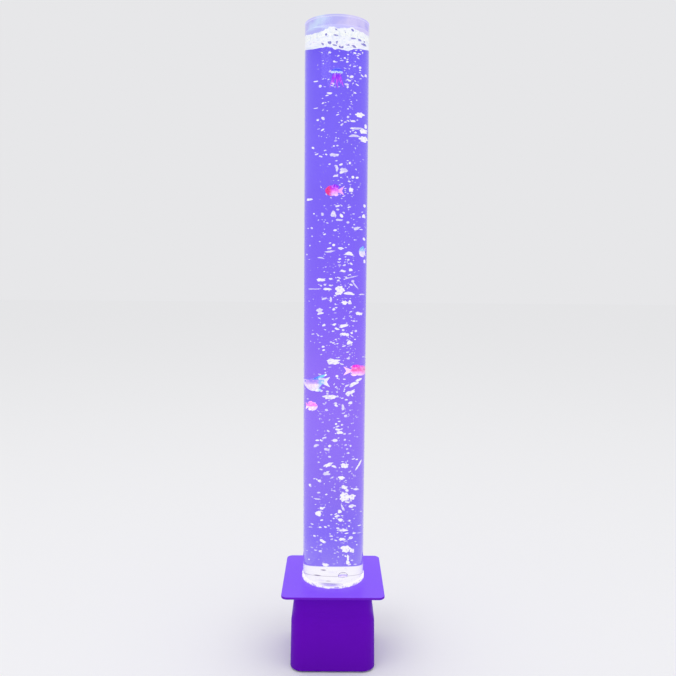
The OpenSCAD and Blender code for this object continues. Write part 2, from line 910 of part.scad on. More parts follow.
// an in-line valve with a barb at each end, so that water can't run back into the pump
module check_valve() {
    color([0.15, 0.45, 0.75])
        translate([outlet_x, valve_y, valve_z])
            difference() {
                rotate_extrude()
                    polygon([
                        [0, -valve_barb], [barb_r, -valve_barb], [barb_r, 0],
                        [valve_r - 1.5, 0], [valve_r, 1.5], [valve_r, valve_l / 2 - 1],
                        [valve_r + 1, valve_l / 2 - 1], [valve_r + 1, valve_l / 2 + 1],
                        [valve_r, valve_l / 2 + 1], [valve_r, valve_l - 1.5],
                        [valve_r - 1.5, valve_l], [barb_r, valve_l],
                        [barb_r, valve_l + valve_barb], [0, valve_l + valve_barb]
                    ]);
                translate([0, 0, -valve_barb - eps])
                    cylinder(r = barb_bore_r, h = valve_barb + 4);
                translate([0, 0, valve_l - 4])
                    cylinder(r = barb_bore_r, h = valve_barb + 4 + eps);
            }
}

// ---- air pump ----

module at_pump() {
    translate([pump_x, pump_y, 0])
        children();
}

// the floor with its locating rim, the arm's upright pin and the cradle of the iron core
module pump_base() {
    rim_gap = pump_wall + fit_gap;
    pole_mid = arm_pivot[0] + arm_l - magnet[0] / 2;
    color([0.2, 0.2, 0.24])
        at_pump()
            difference() {
                union() {
                    translate([0, 0, pump_z])
                        rounded_box(pump_l, pump_w, pump_floor_t, pump_r);
                    translate([0, 0, pump_in_z])
                        difference() {
                            rounded_box(
                                pump_l - 2 * rim_gap, pump_w - 2 * rim_gap,
                                pump_rim_h, pump_r - rim_gap
                            );
                            translate([0, 0, -eps])
                                rounded_box(
                                    pump_l - 2 * rim_gap - 3, pump_w - 2 * rim_gap - 3,
                                    pump_rim_h + 2 * eps, pump_r - rim_gap - 1.5
                                );
                            four(pump_screw_at)
                                translate([0, 0, -eps])
                                    cylinder(r = pump_boss_r + fit_gap, h = pump_rim_h + 1);
                            translate([bellows_x - 15, chamber_y - 1, -eps])
                                cube([30, 20, 4]);
                        }
                    translate([arm_pivot[0], arm_pivot[1], pump_in_z - 1])
                        cylinder(r = pump_boss_r, h = arm_z - pump_in_z + 1 - fit_gap);
                    translate([arm_pivot[0], arm_pivot[1], pump_in_z])
                        cylinder(r = arm_pin_r, h = arm_z + arm_h + 5 - pump_in_z);
                    translate([pole_mid - core_l / 2, pole_y - core_d, pump_in_z - 1])
                        cube([core_l, core_back, core_low - pump_in_z + 1]);
                }
                translate([0, 0, pump_z - eps])
                    four(pump_screw_at)
                        cylinder(r = m3[0] / 2 + pass_gap, h = pump_floor_t + 2 * eps);
            }
}

module pump_cover() {
    color([0.16, 0.16, 0.2])
        at_pump()
            difference() {
                union() {
                    difference() {
                        translate([0, 0, pump_in_z])
                            rounded_box(pump_l, pump_w, pump_top - pump_in_z, pump_r);
                        translate([0, 0, pump_in_z - eps])
                            rounded_box(
                                pump_l - 2 * pump_wall, pump_w - 2 * pump_wall,
                                pump_top - pump_in_z - 2.5, pump_r - pump_wall
                            );
                    }
                    four(pump_screw_at)
                        translate([0, 0, pump_in_z])
                            cylinder(r = pump_boss_r, h = pump_top - pump_in_z - 1);
                    translate([arm_pivot[0], arm_pivot[1], arm_z + arm_h + fit_gap])
                        cylinder(r = pump_boss_r, h = pump_top - arm_z - arm_h - fit_gap - 1);
                }
                four(pump_screw_at)
                    translate([0, 0, pump_in_z - eps])
                        cylinder(r = m3[0] / 2 + thread_gap, h = bite[0] + 2 * hole_spare);
                translate([arm_pivot[0], arm_pivot[1], arm_z + arm_h])
                    cylinder(r = arm_pin_r + run_gap, h = 6);
                translate([bellows_x, pump_w / 2 - pump_wall - eps, outlet_z])
                    rotate([-90, 0, 0])
                        cylinder(r = barb_r + pass_gap, h = pump_wall + 2 * eps);
                translate([pump_lead_x - pump_x, pump_w / 2 - pump_wall - eps, pump_lead_z])
                    rotate([-90, 0, 0])
                        cylinder(r = lead_r + pass_gap, h = pump_wall + 2 * eps);
                for (i = [-2 : 2])
                    translate([20 + 5 * i, -8, pump_top - 3])
                        linear_extrude(4) {
                            square([2, 14], center = true);
                            for (end = [-7, 7])
                                translate([0, end])
                                    circle(1);
                        }
            }
}

module pump_screws() {
    color([0.7, 0.7, 0.72])
        at_pump()
            four(pump_screw_at)
                translate([0, 0, pump_z])
                    screw(m3, pump_floor_t + bite[0]);
}

// rubber buffers that stand in the cover's cups and keep the hum out of the housing
module pump_mounts() {
    waist = 1.5;
    color([0.06, 0.06, 0.07])
        at_pump()
            four(mount_at)
                translate([0, 0, cover_top])
                    rotate_extrude()
                        polygon([
                            [0, 0], [mount_r, 0], [mount_r, mount_h / 2 - 1],
                            [mount_r - waist, mount_h / 2 - 0.3],
                            [mount_r - waist, mount_h / 2 + 0.3],
                            [mount_r, mount_h / 2 + 1], [mount_r, mount_h], [0, mount_h]
                        ]);
}

// an E-shaped stack of iron sheets: a back and three legs towards the magnet
module magnet_core() {
    pole_mid = arm_pivot[0] + arm_l - magnet[0] / 2;
    color([0.55, 0.55, 0.58])
        at_pump()
            translate([pole_mid, pole_y, core_low])
                linear_extrude(magnet[2]) {
                    translate([-core_l / 2, -core_d])
                        square([core_l, core_back]);
                    for (x = [-(core_l - core_leg) / 2, 0, (core_l - core_leg) / 2])
                        translate([x - core_leg / 2, -core_d + core_back - 1])
                            square([core_leg, core_d - core_back + 1]);
                }
}

// a wound coil between two bobbin flanges, pushed over the core's middle leg
module coil() {
    pole_mid = arm_pivot[0] + arm_l - magnet[0] / 2;
    coil_w = core_l - 2 * core_leg - 1;
    coil_l = core_d - core_back - 3;
    coil_h = magnet[2] + coil_w - core_leg;
    color([0.72, 0.36, 0.16])
        at_pump()
            translate([pole_mid, pole_y - 1.5, core_low + magnet[2] / 2])
                rotate([90, 0, 0])
                    difference() {
                        union() {
                            rounded_box(coil_w - 1.6, coil_h - 1.6, coil_l, 3);
                            for (z = [0, coil_l - 1])
                                translate([0, 0, z])
                                    rounded_box(coil_w, coil_h, 1, 1.5);
                        }
                        translate([0, 0, coil_l / 2])
                            cube([core_leg + 0.4, magnet[2] + 0.4, coil_l + 1], center = true);
                    }
}

// a stiff arm that swings on the upright pin
module pump_arm() {
    color([0.85, 0.85, 0.82])
        at_pump()
            translate([arm_pivot[0], arm_pivot[1], arm_z])
                difference() {
                    union() {
                        cylinder(r = arm_hub_r, h = arm_h);
                        translate([0, -arm_t / 2, 0])
                            cube([arm_l, arm_t, arm_h]);
                        translate([0, -arm_t / 2 - 1, arm_h / 2 - 1])
                            cube([arm_l - magnet[0] - 2, arm_t + 1, 2]);
                    }
                    translate([0, 0, -eps])
                        cylinder(r = arm_pin_r + run_gap, h = arm_h + 2 * eps);
                }
}

module arm_magnet() {
    color([0.3, 0.3, 0.32])
        at_pump()
            translate([
                arm_pivot[0] + arm_l - magnet[0], arm_pivot[1] - arm_t / 2 - magnet[1], core_low
            ])
                cube(magnet);
}

// a ribbed rubber cup between the arm and the air chamber
module bellows() {
    y_arm = arm_pivot[1] + arm_t / 2;
    color([0.12, 0.12, 0.13])
        at_pump()
            translate([bellows_x, y_arm, arm_z + arm_h / 2])
                rotate([-90, 0, 0])
                    rotate_extrude()
                        polygon([
                            [0, 0], [3.5, 0], [3.5, 1.6], [6.5, 1.6], [8.5, 2.6], [7.5, 3.6],
                            [9.5, 4.6], [bellows_r, 5.2], [bellows_r, bellows_l],
                            [bellows_r - 1.5, bellows_l], [bellows_r - 1.5, 5.9],
                            [6, 4.4], [6.6, 3], [0, 2.8]
                        ]);
}

// the valve block: the bellows seats on its front, and the outlet barb leaves its back
module air_chamber() {
    color([0.8, 0.8, 0.78])
        at_pump()
            difference() {
                union() {
                    translate([bellows_x - 14, chamber_y, pump_in_z])
                        cube([28, chamber_d, outlet_z + 6 - pump_in_z]);
                    translate([bellows_x, chamber_y + chamber_d - 1, outlet_z])
                        rotate([-90, 0, 0])
                            cylinder(r = barb_r, h = pump_w / 2 + outlet_l - chamber_y - chamber_d + 1);
                }
                translate([bellows_x, chamber_y + 4, outlet_z])
                    rotate([-90, 0, 0])
                        cylinder(r = barb_bore_r, h = pump_w);
                translate([bellows_x, chamber_y - eps, arm_z + arm_h / 2])
                    rotate([-90, 0, 0])
                        cylinder(r = 5, h = 2);
                translate([bellows_x, chamber_y - eps, outlet_z - 2.5])
                    rotate([-90, 0, 0])
                        cylinder(r = 1, h = 6);
            }
}

// ---- controls at the rear ----

// the circuit board with its chip, choke, two capacitors and two plugs on the front face
module control_board() {
    front_y = control_y - board_t;
    color([0.1, 0.4, 0.2])
        difference() {
            union() {
                translate([-control_w / 2, front_y, control_low])
                    cube([control_w, board_t, control_h]);
                translate([led_lead_x - plug_size[0] / 2, front_y - plug_size[1], led_plug_z])
                    mirror([0, 0, 1])
                        cube([plug_size[0], plug_size[1] + eps, plug_size[2]]);
                translate([pump_lead_x - plug_size[0] / 2, front_y - plug_size[1], pump_plug_z])
                    cube([plug_size[0], plug_size[1] + eps, plug_size[2]]);
                translate([-9, front_y - 2, panel_z - 4])
                    cube([9, 2 + eps, 12]);
                for (x = [-16, -6])
                    translate([x, front_y + eps, control_low + 9])
                        rotate([90, 0, 0])
                            cylinder(d = 8, h = 10);
                translate([-18, front_y + eps, panel_z + 6])
                    rotate([90, 0, 0])
                        cylinder(d = 11, h = 6);
            }
            for (x = [-1, 1], z = [-1, 1])
                translate([x * standoff_at[0], front_y - eps, panel_z + z * standoff_at[1]])
                    rotate([-90, 0, 0])
                        cylinder(r = m25[0] / 2 + pass_gap, h = board_t + 2 * eps);
        }
}

module control_screws() {
    color([0.7, 0.7, 0.72])
        for (x = [-1, 1], z = [-1, 1])
            translate([x * standoff_at[0], control_y - board_t, panel_z + z * standoff_at[1]])
                rotate([-90, 0, 0])
                    screw(m25, board_t + 6);
}

// the switch on the board's rear face, with a bore for the button's plunger
module push_switch() {
    color([0.15, 0.15, 0.16])
        translate([panel_x, control_y, panel_z])
            rotate([-90, 0, 0])
                difference() {
                    translate([-5, -5, 0])
                        cube([10, 10, switch_h]);
                    translate([0, 0, switch_h - plunger_in - button_travel - run_gap])
                        cylinder(r = plunger_d / 2 + run_gap, h = switch_h);
                }
}

// cap, flange behind the wall and plunger, turned about the button's axis
module power_button() {
    plunger_end = control_y + switch_h - plunger_in;
    flange_y = panel_in_y - fit_gap - button_flange_t;
    face_y = panel_y + button_proud;
    cap_r = button_d / 2;
    round_r = 1;
    color([0.1, 0.1, 0.12])
        translate([panel_x, 0, panel_z])
            rotate([-90, 0, 0])
                rotate_extrude()
                    polygon(concat(
                        [[0, plunger_end], [plunger_d / 2, plunger_end], [plunger_d / 2, flange_y],
                         [cap_r + 2, flange_y], [cap_r + 2, flange_y + button_flange_t],
                         [cap_r, flange_y + button_flange_t]],
                        [for (a = [0 : 15 : 90])
                            [cap_r - round_r + round_r * cos(a), face_y - round_r + round_r * sin(a)]],
                        [[cap_r - 2.5, face_y], [cap_r - 3.5, face_y - 0.5], [0, face_y - 0.5]]
                    ));
}

// the low-voltage inlet: flange outside, threaded barrel through the wall, pin in its bore
module dc_socket() {
    inner_end = control_y + 1.2;
    barrel_r = jack_d / 2;
    face_y = panel_y + jack_flange_t;
    bore_r = barrel_r - 1.2;
    color([0.08, 0.08, 0.09])
        translate([-panel_x, 0, panel_z])
            rotate([-90, 0, 0])
                rotate_extrude()
                    polygon([
                        [0, inner_end], [barrel_r, inner_end], [barrel_r, panel_y],
                        [barrel_r + 2, panel_y], [barrel_r + 2, face_y - 0.5],
                        [barrel_r + 1.5, face_y], [bore_r, face_y], [bore_r, face_y - 10],
                        [1, face_y - 10], [1, face_y - 1.5], [0, face_y - 1.5]
                    ]);
}

module socket_nut() {
    color([0.6, 0.6, 0.62])
        translate([-panel_x, panel_in_y, panel_z])
            rotate([90, 0, 0])
                hex_nut(jack_d + 4, jack_d / 2 + thread_gap, jack_nut_t);
}

// ---- swimming figures ----

// body width along a fish, from the nose at 0 to the root of the tail at 1; a larger lag
// moves the widest place back
function body_swell(t, lag) =
    0.1 * (1 - t) + 0.2 * t + 0.86 * pow(sin(180 * pow(t, lag)), 0.95);

// a moulded fish with its nose at -X: a lofted body, and flat fins in its middle plane; sag
// straightens its back and hangs its belly, and swept gives it a long upright back fin
module fish(l, h, w, lag = 0.78, sag = 0, swept = false) {
    body_l = 0.76 * l;
    fin_t = 1.2;
    steps = 12;
    nose = -l / 2;
    body_rings = [for (k = [0 : steps])
        let (t = k / steps, s = body_swell(t, lag), middle = sag * h / 2 * (0.6 - s))
        [for (a = [0 : 24 : 336])
            [nose + body_l * t, w / 2 * s * cos(a), middle + h / 2 * s * sin(a)]]];
    loft(body_rings);
    rotate([90, 0, 0])
        linear_extrude(fin_t, center = true) {
            translate([0, 0.2 * sag * h])
                tail_fin(nose + body_l, l - body_l, 0.42 * h);
            if (swept)
                swept_fin(l, h);
            else
                back_fin(nose + 0.26 * l, 0.4 * l, 0.3 * h, 0.3 * h);
            mirror([0, 1])
                back_fin(nose + 0.42 * l, 0.24 * l, (0.3 + 0.25 * sag) * h, 0.22 * h);
        }
    for (side = [-1, 1])
        translate([nose + 0.3 * l, side * 0.36 * w, -0.06 * h])
            rotate([side * 62, 0, 0])
                linear_extrude(fin_t, center = true)
                    polygon([[0, -1.5], [0.2 * l, -2.5], [0.24 * l, 0], [0.2 * l, 2.5], [0, 1.5]]);
}

// a forked tail from its root at x, tail_l long and reach high to each side
module tail_fin(x, tail_l, reach) {
    root = 0.3 * reach;
    half = [for (t = [0 : 0.25 : 1])
        [x - 1 + (tail_l + 1) * t, root + (reach - root) * pow(t, 1.3)]];
    notch = [[x + 0.55 * tail_l, 0]];
    polygon(concat(
        half, notch, [for (i = [len(half) - 1 : -1 : 0]) [half[i][0], -half[i][1]]]
    ));
}

// a fin that rises steeply at the front and falls away towards the tail
module back_fin(x, fin_l, z, rise) {
    polygon(concat(
        [[x, z]],
        [for (a = [30 : 30 : 150])
            [x + fin_l * (1 - cos(a)) / 2 + 0.18 * fin_l * sin(a), z + 0.2 * rise + rise * sin(a)]],
        [[x + fin_l, z]]
    ));
}

// a long fin that sweeps up and back from the middle of the back
module swept_fin(l, h) {
    polygon([
        [-0.16 * l, 0.15 * h], [0.12 * l, 0.15 * h], [0.22 * l, 0.46 * h], [0.4 * l, 0.74 * h],
        [0.37 * l, 0.8 * h], [0.14 * l, 0.66 * h], [-0.04 * l, 0.46 * h]
    ]);
}

module red_fish() {
    color([0.95, 0.15, 0.35])
        swim(red_fish_at, 0)
            fish(red_fish_l, 0.66 * red_fish_l, fish_w);
}

module blue_fish() {
    color([0.1, 0.55, 0.95])
        swim(blue_fish_at, 90)
            fish(blue_fish_l, 0.6 * blue_fish_l, fish_w);
}

module pink_fish() {
    color([0.95, 0.25, 0.6])
        swim(pink_fish_at, 180)
            fish(pink_fish_l, 0.58 * pink_fish_l, fish_w);
}

module cyan_fish() {
    color([0.3, 0.75, 0.95])
        swim(cyan_fish_at, 0)
            fish(cyan_fish_l, 0.58 * cyan_fish_l, fish_w, lag = 1.15, sag = 0.7, swept = true);
}

module pale_fish() {
    color([0.95, 0.7, 0.85])
        swim(pale_fish_at, 180)
            fish(pale_fish_l, 0.68 * pale_fish_l, fish_w);
}

module swim(at, heading) {
    translate(at)
        rotate(heading)
            children();
}

// the jellyfish: a thin bell with a floor, a mouth stalk and a ring of wavy, flaring tentacles
module jellyfish() {
    bell_r = jelly_d / 2;
    bell_h = 0.42 * jelly_d;
    skin = 1.2;
    tentacles = 8;
    hang = jelly_l - bell_h;
    color([0.2, 0.45, 0.95])
        translate(jelly_at) {
            difference() {
                intersection() {
                    translate([0, 0, bell_h - dome(bell_r, bell_h)])
                        sphere(dome(bell_r, bell_h), $fn = 96);
                    cylinder(r = bell_r, h = bell_h + 1);
                }
                intersection() {
                    translate([0, 0, bell_h - dome(bell_r, bell_h)])
                        sphere(dome(bell_r, bell_h) - skin, $fn = 96);
                    translate([0, 0, skin])
                        cylinder(r = bell_r, h = bell_h);
                }
            }
            for (i = [0 : tentacles - 1])
                tentacle(360 / tentacles * i, 0.6 * bell_r, hang * (i % 2 == 0 ? 1 : 0.8), 0.9);
            tentacle(20, 0, 0.7 * hang, 2);
        }
}

// the radius of a dome that is rise high over a foot of radius foot
function dome(foot, rise) = (foot * foot + rise * rise) / (2 * rise);

// one tentacle, straight down from the bell's floor, spreading and swaying as it falls
module tentacle(turn, out, drop, thick) {
    steps = 7;
    loft([for (k = [steps : -1 : 0])
        let (
            t = k / steps,
            sway = turn + 16 * sin(300 * t) * t,
            reach = out * (1 + 0.9 * t),
            r = thick * (1 - 0.55 * t)
        )
        [for (a = [0 : 60 : 300])
            [reach * cos(sway) + r * cos(a), reach * sin(sway) + r * sin(a), 0.5 - (drop + 0.5) * t]]]);
}

housing();
bottom_cover();
rubber_feet();
cover_screws();
top_plate();
plate_screws();
light_tray();
tray_screws();
light_board();
lamps();
board_screws();
led_lead();
base_disc();
tube();
top_cap();
air_nozzle();
nozzle_seal();
nozzle_nut();
lower_hose();
check_valve();
upper_hose();
pump_base();
pump_cover();
pump_screws();
pump_mounts();
magnet_core();
coil();
pump_arm();
arm_magnet();
bellows();
air_chamber();
pump_lead();
control_board();
control_screws();
push_switch();
power_button();
dc_socket();
socket_nut();
jellyfish();
red_fish();
blue_fish();
pink_fish();
cyan_fish();
pale_fish();
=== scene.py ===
import math
import random

import bmesh
import bpy
from mathutils import Matrix, Vector
from mathutils import noise as cloud


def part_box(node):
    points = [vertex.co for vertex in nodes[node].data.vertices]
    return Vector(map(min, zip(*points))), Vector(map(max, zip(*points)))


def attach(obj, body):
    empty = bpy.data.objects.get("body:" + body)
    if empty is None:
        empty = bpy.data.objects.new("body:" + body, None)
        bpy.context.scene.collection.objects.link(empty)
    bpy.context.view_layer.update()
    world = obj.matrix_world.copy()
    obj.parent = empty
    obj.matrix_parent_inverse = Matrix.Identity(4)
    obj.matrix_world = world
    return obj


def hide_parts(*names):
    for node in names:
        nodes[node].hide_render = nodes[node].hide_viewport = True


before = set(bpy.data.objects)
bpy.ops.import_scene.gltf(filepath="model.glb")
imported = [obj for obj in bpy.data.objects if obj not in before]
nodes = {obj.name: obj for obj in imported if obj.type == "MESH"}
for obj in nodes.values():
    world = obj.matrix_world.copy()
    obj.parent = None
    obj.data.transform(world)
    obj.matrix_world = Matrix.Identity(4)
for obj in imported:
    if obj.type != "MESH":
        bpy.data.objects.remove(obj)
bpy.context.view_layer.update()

# ---- housing ----
# The moulded box that hides the pump and the light board, in deep violet plastic with a fine
# satin grain. It is one shell, drawn in at the shoulder, and stands on the bottom cover's feet.


def linear(red, green, blue):
    """A colour picked on a screen, from 0 to 255, as the renderer's own values."""
    return tuple(
        c / 12.92 if c <= 0.04045 else ((c + 0.055) / 1.055) ** 2.4
        for c in (red / 255, green / 255, blue / 255)
    ) + (1,)


def wire(tree, made, sockets):
    """Gives a node's sockets their values, or links them where a value is a socket.

    A colour is given as it is picked on a screen, by three numbers from 0 to 255.
    """
    for name, value in dict(sockets).items():
        socket = made.inputs[name]
        if isinstance(value, bpy.types.NodeSocket):
            tree.links.new(value, socket)
        elif socket.type == "RGBA" and len(value) == 3:
            socket.default_value = linear(*value)
        else:
            socket.default_value = value
    return made


def add(tree, kind, sockets=(), **settings):
    """Adds a shader node: its settings, then its sockets."""
    made = tree.nodes.new("ShaderNode" + kind)
    for name, value in settings.items():
        setattr(made, name, value)
    return wire(tree, made, sockets)


def calc(tree, operation, first, second=0.0):
    """One sum: two values or sockets in, one socket out."""
    return add(tree, "Math", {0: first, 1: second}, operation=operation).outputs[0]


def ranged(tree, value, low, high, to_low=0.0, to_high=1.0):
    """A value's share of the way from low to high, as a value from to_low to to_high."""
    return add(
        tree, "MapRange",
        {"Value": value, "From Min": low, "From Max": high, "To Min": to_low, "To Max": to_high},
    ).outputs[0]


def noise(tree, where, scale, detail=3, distortion=0.0):
    return add(
        tree, "TexNoise",
        {"Vector": where, "Scale": scale, "Detail": detail, "Distortion": distortion},
    ).outputs["Fac"]


def spot(tree, stretch=None):
    """The place on the object, in metres, if need be stretched along each axis."""
    where = add(tree, "TexCoord").outputs["Object"]
    if stretch is None:
        return where
    return add(tree, "Mapping", {"Vector": where, "Scale": stretch}).outputs[0]


def along(tree, where, axis):
    return add(tree, "SeparateXYZ", {0: where}).outputs[axis]


def hues(tree, value, stops):
    """A colour that changes with a value: (value, colour) pairs from low to high."""
    low, high = stops[0][0], stops[-1][0]
    ramp = add(tree, "ValToRGB", {0: ranged(tree, value, low, high)})
    points = ramp.color_ramp.elements
    points[0].color, points[1].color = linear(*stops[0][1]), linear(*stops[-1][1])
    for at, colour in stops[1:-1]:
        points.new((at - low) / (high - low)).color = linear(*colour)
    return ramp.outputs[0]


def bumped(tree, height, strength, distance):
    """A surface's normal, as a height of up to the distance in metres turns it."""
    return add(
        tree, "Bump", {"Height": height, "Strength": strength, "Distance": distance}
    ).outputs[0]


def material(name):
    """A new material, its tree and its output's surface socket."""
    made = bpy.data.materials.new(name)
    made.use_nodes = True
    made.node_tree.nodes.clear()
    end = made.node_tree.nodes.new("ShaderNodeOutputMaterial")
    return made, made.node_tree, end.inputs["Surface"]


def shade(tree, surface, colour, glow=0.0, light=None, **sockets):
    """A principled shader, which may glow in a light's colour or else in its own.

    In a socket's name _ stands for a space.
    """
    sockets = {name.replace("_", " "): value for name, value in sockets.items()}
    if glow:
        sockets |= {"Emission Color": light or colour, "Emission Strength": glow}
    shader = add(tree, "BsdfPrincipled", {"Base Color": colour} | sockets)
    tree.links.new(shader.outputs[0], surface)


def moulded_group():
    """Moulded plastic: clouded colour, uneven shine and a fine grain."""
    tree = bpy.data.node_groups.new("moulded surface", "ShaderNodeTree")
    for label, kind, value in (
        ("Color", "Color", (0.5, 0.5, 0.5, 1)), ("Clouding", "Float", 0.05),
        ("Grain Scale", "Float", 1800), ("Grain Depth", "Float", 0.1),
        ("Roughness", "Float", 0.4),
    ):
        tree.interface.new_socket(
            label, in_out="INPUT", socket_type="NodeSocket" + kind).default_value = value
    for label, kind in (("Color", "Color"), ("Roughness", "Float"), ("Normal", "Vector")):
        tree.interface.new_socket(label, in_out="OUTPUT", socket_type="NodeSocket" + kind)
    given = tree.nodes.new("NodeGroupInput").outputs
    where = spot(tree)
    clouds = noise(tree, where, 22, 4)
    swing = calc(tree, "MULTIPLY", calc(tree, "SUBTRACT", clouds, 0.5), given["Clouding"])
    tone = add(
        tree, "HueSaturation",
        {"Color": given["Color"], "Value": calc(tree, "ADD", swing, 1)}).outputs[0]
    shine = calc(tree, "ADD", given["Roughness"], ranged(tree, clouds, 0, 1, -0.08, 0.08))
    grain = noise(tree, where, given["Grain Scale"], 2)
    wire(
        tree, tree.nodes.new("NodeGroupOutput"),
        {"Color": tone, "Roughness": shine,
         "Normal": bumped(tree, grain, given["Grain Depth"], 0.0002)})
    return tree


moulded = moulded_group()


def plastic(
    name, colour, roughness, clouding=0.08, scale=1800, depth=0.25, light=None, **sockets
):
    """A moulded plastic. The colour is a value, or a function that makes it in the tree."""
    made, tree, surface = material(name)
    if callable(colour):
        colour = colour(tree)
    skin = wire(
        tree, add(tree, "Group", node_tree=moulded),
        {"Color": colour, "Clouding": clouding, "Grain Scale": scale, "Grain Depth": depth,
         "Roughness": roughness}).outputs
    shade(
        tree, surface, skin["Color"], light=light or colour, Roughness=skin["Roughness"],
        Normal=skin["Normal"], **sockets)
    return made


def dress(paint, *names):
    """Gives the material to the CAD nodes of these names."""
    for name in names:
        for slot in nodes[name].material_slots:
            slot.material = paint


# painted shade: the housing's violet grows darker towards the floor
def housing_colour_painted_shade(tree):
    return hues(tree, along(tree, spot(tree), "Z"), [
        (0.003, (88, 2, 162)), (0.08, (94, 2, 173)), (0.15, (97, 2, 184))])


# the housing glows faintly in violet as painted light
dress(
    plastic(
        "housing violet", housing_colour_painted_shade, 0.5, 0.1, Specular_IOR_Level=0.06,
        light=(93, 0, 178), glow=0.12),
    "housing",
)

# ---- top plate ----
# A flat square plate of the same plastic, screwed to the housing's neck from below. Its upper
# face takes a bright violet from the lit column that stands on it, with a few pale flecks.


def blend(tree, share, first, second):
    """Two colours mixed by a share."""
    return add(tree, "Mix", {0: share, 6: first, 7: second}, data_type="RGBA").outputs[2]


def plate_colour_painted_light(tree):
    """The housing's violet on the sides, and on what faces up a brighter one with flecks:
    painted light from the lit column.
    """
    flecks = noise(tree, spot(tree, (1, 2.5, 1)), 210, 3)
    bright = blend(
        tree, ranged(tree, flecks, 0.71, 0.76, 0, 0.6), (129, 79, 235), (182, 152, 255))
    upward = along(tree, add(tree, "NewGeometry").outputs["Normal"], "Z")
    return blend(tree, ranged(tree, upward, 0.35, 0.9), (97, 8, 186), bright)


# the plate also glows faintly as painted light
dress(
    plastic(
        "plate violet", plate_colour_painted_light, 0.34, 0.06, 1500, 0.12, glow=0.15,
        Specular_IOR_Level=0.15),
    "top_plate")

# ---- bottom cover and feet ----
# A flat black cover closes the housing from below, with slots for the pump's air. Four rubber
# feet are pushed into its holes, and steel screws hold it to the housing's bosses.

dress(plastic("cover black", (34, 33, 38), 0.5, 0.2, 1500, 0.4), "bottom_cover")
dress(plastic("foot rubber", (22, 22, 24), 0.78, 0.25, 2600, 0.5), "rubber_feet")


def metal(name, colour, roughness, stretch=(1, 1, 1), scale=300):
    """A turned, drawn or rolled metal with faint streaks."""
    made, tree, surface = material(name)
    lines = noise(tree, spot(tree, stretch), scale, 5)
    tone = add(
        tree, "HueSaturation",
        {"Color": colour, "Value": ranged(tree, lines, 0, 1, 0.84, 1.14)}).outputs[0]
    bump = bumped(tree, lines, 0.2, 0.0001)
    shade(
        tree, surface, tone, Metallic=1.0, Normal=bump,
        Roughness=ranged(tree, lines, 0, 1, roughness - 0.1, roughness + 0.1))
    return made


dress(
    metal("screw steel", (178, 178, 184), 0.34, (1, 1, 8), 500),
    "cover_screws", "plate_screws", "tray_screws", "board_screws", "pump_screws",
    "control_screws", "socket_nut",
)

# ---- rear panel ----
# A push button with a dished face and the low-voltage inlet sit side by side in a flat recess
# of the housing's rear wall. The inlet's barrel is nickel-plated and its nut is inside.

dress(plastic("button cap", (58, 54, 66), 0.35, 0.1, 1800, 0.1), "power_button")
dress(metal("inlet nickel", (196, 190, 182), 0.26, (8, 1, 8), 420), "dc_socket")

# ---- air pump ----
# A boxed pump on rubber mounts: an electromagnet swings a magnet on an arm, and the arm works
# a rubber bellows. A clear hose with a check valve takes the air up to the outlet.

dress(plastic("pump case", (44, 44, 52), 0.55, 0.2, 1100, 0.5), "pump_base", "pump_cover")
dress(plastic("soft rubber", (26, 26, 28), 0.7, 0.3, 2200, 0.5), "pump_mounts", "bellows")
dress(metal("core sheets", (112, 112, 118), 0.45, (1, 1, 40), 160), "magnet_core")
dress(metal("coil copper", (196, 108, 62), 0.3, (60, 1, 1), 60), "coil")
dress(plastic("arm nylon", (226, 222, 206), 0.42, 0.1, 900, 0.1), "pump_arm")
dress(metal("magnet", (92, 92, 98), 0.5, (1, 1, 1), 700), "arm_magnet")
dress(plastic("chamber grey", (142, 144, 150), 0.5, 0.15, 1300, 0.3), "air_chamber")
dress(
    plastic("hose", (206, 214, 216), 0.2, 0.1, 500, 0.05, Coat_Weight=0.4),
    "lower_hose", "upper_hose")
dress(plastic("check valve blue", (42, 92, 178), 0.35, 0.1, 1500, 0.1), "check_valve")

# ---- control board ----
# An upright green board behind the rear panel, with the push switch and the plugs of the two
# leads. Its copper tracks show as paler lines under the solder mask.


def board_tracks(tree):
    """Solder mask, with paler tracks in a square pattern under it."""
    upright = add(tree, "Mapping", {"Vector": spot(tree), "Rotation": (math.pi / 2, 0, 0)})
    return add(
        tree, "TexBrick",
        {"Vector": upright.outputs[0], "Color1": (22, 92, 56), "Color2": (22, 92, 56),
         "Mortar": (64, 138, 82), "Scale": 170, "Mortar Size": 0.03, "Brick Width": 0.9,
         "Row Height": 0.35}).outputs["Color"]


dress(plastic("control board mask", board_tracks, 0.35, 0.1, 900, 0.1), "control_board")
dress(plastic("switch black", (24, 24, 28), 0.4, 0.1, 1500, 0.2), "push_switch")
dress(plastic("lead cover", (26, 25, 28), 0.45, 0.15, 1600, 0.15), "led_lead", "pump_lead")

# ---- light tray and light board ----
# A white tray under the plate's light hole carries a round white board with twelve square
# lamps, which shine up through the clear base disc.

# the tray and the light board glow lavender as painted light from the lamps
dress(
    plastic("tray white", (238, 236, 246), 0.45, 0.05, 1200, 0.2,
            light=(190, 170, 255), glow=0.3),
    "light_tray")
dress(
    plastic("light board mask", (234, 236, 242), 0.35, 0.05, 900, 0.1,
            light=(190, 170, 255), glow=0.3),
    "light_board")


def lamp_lens():
    """A lamp's face: it glows violet-white, and more strongly at its middle."""
    made, tree, surface = material("lamp lens")
    cells = add(tree, "TexVoronoi", {"Vector": spot(tree), "Scale": 700}).outputs["Distance"]
    tone = blend(tree, cells, (250, 246, 255), (196, 170, 255))
    shade(tree, surface, tone, Roughness=0.25, glow=1.4)
    return made


dress(lamp_lens(), "lamps")

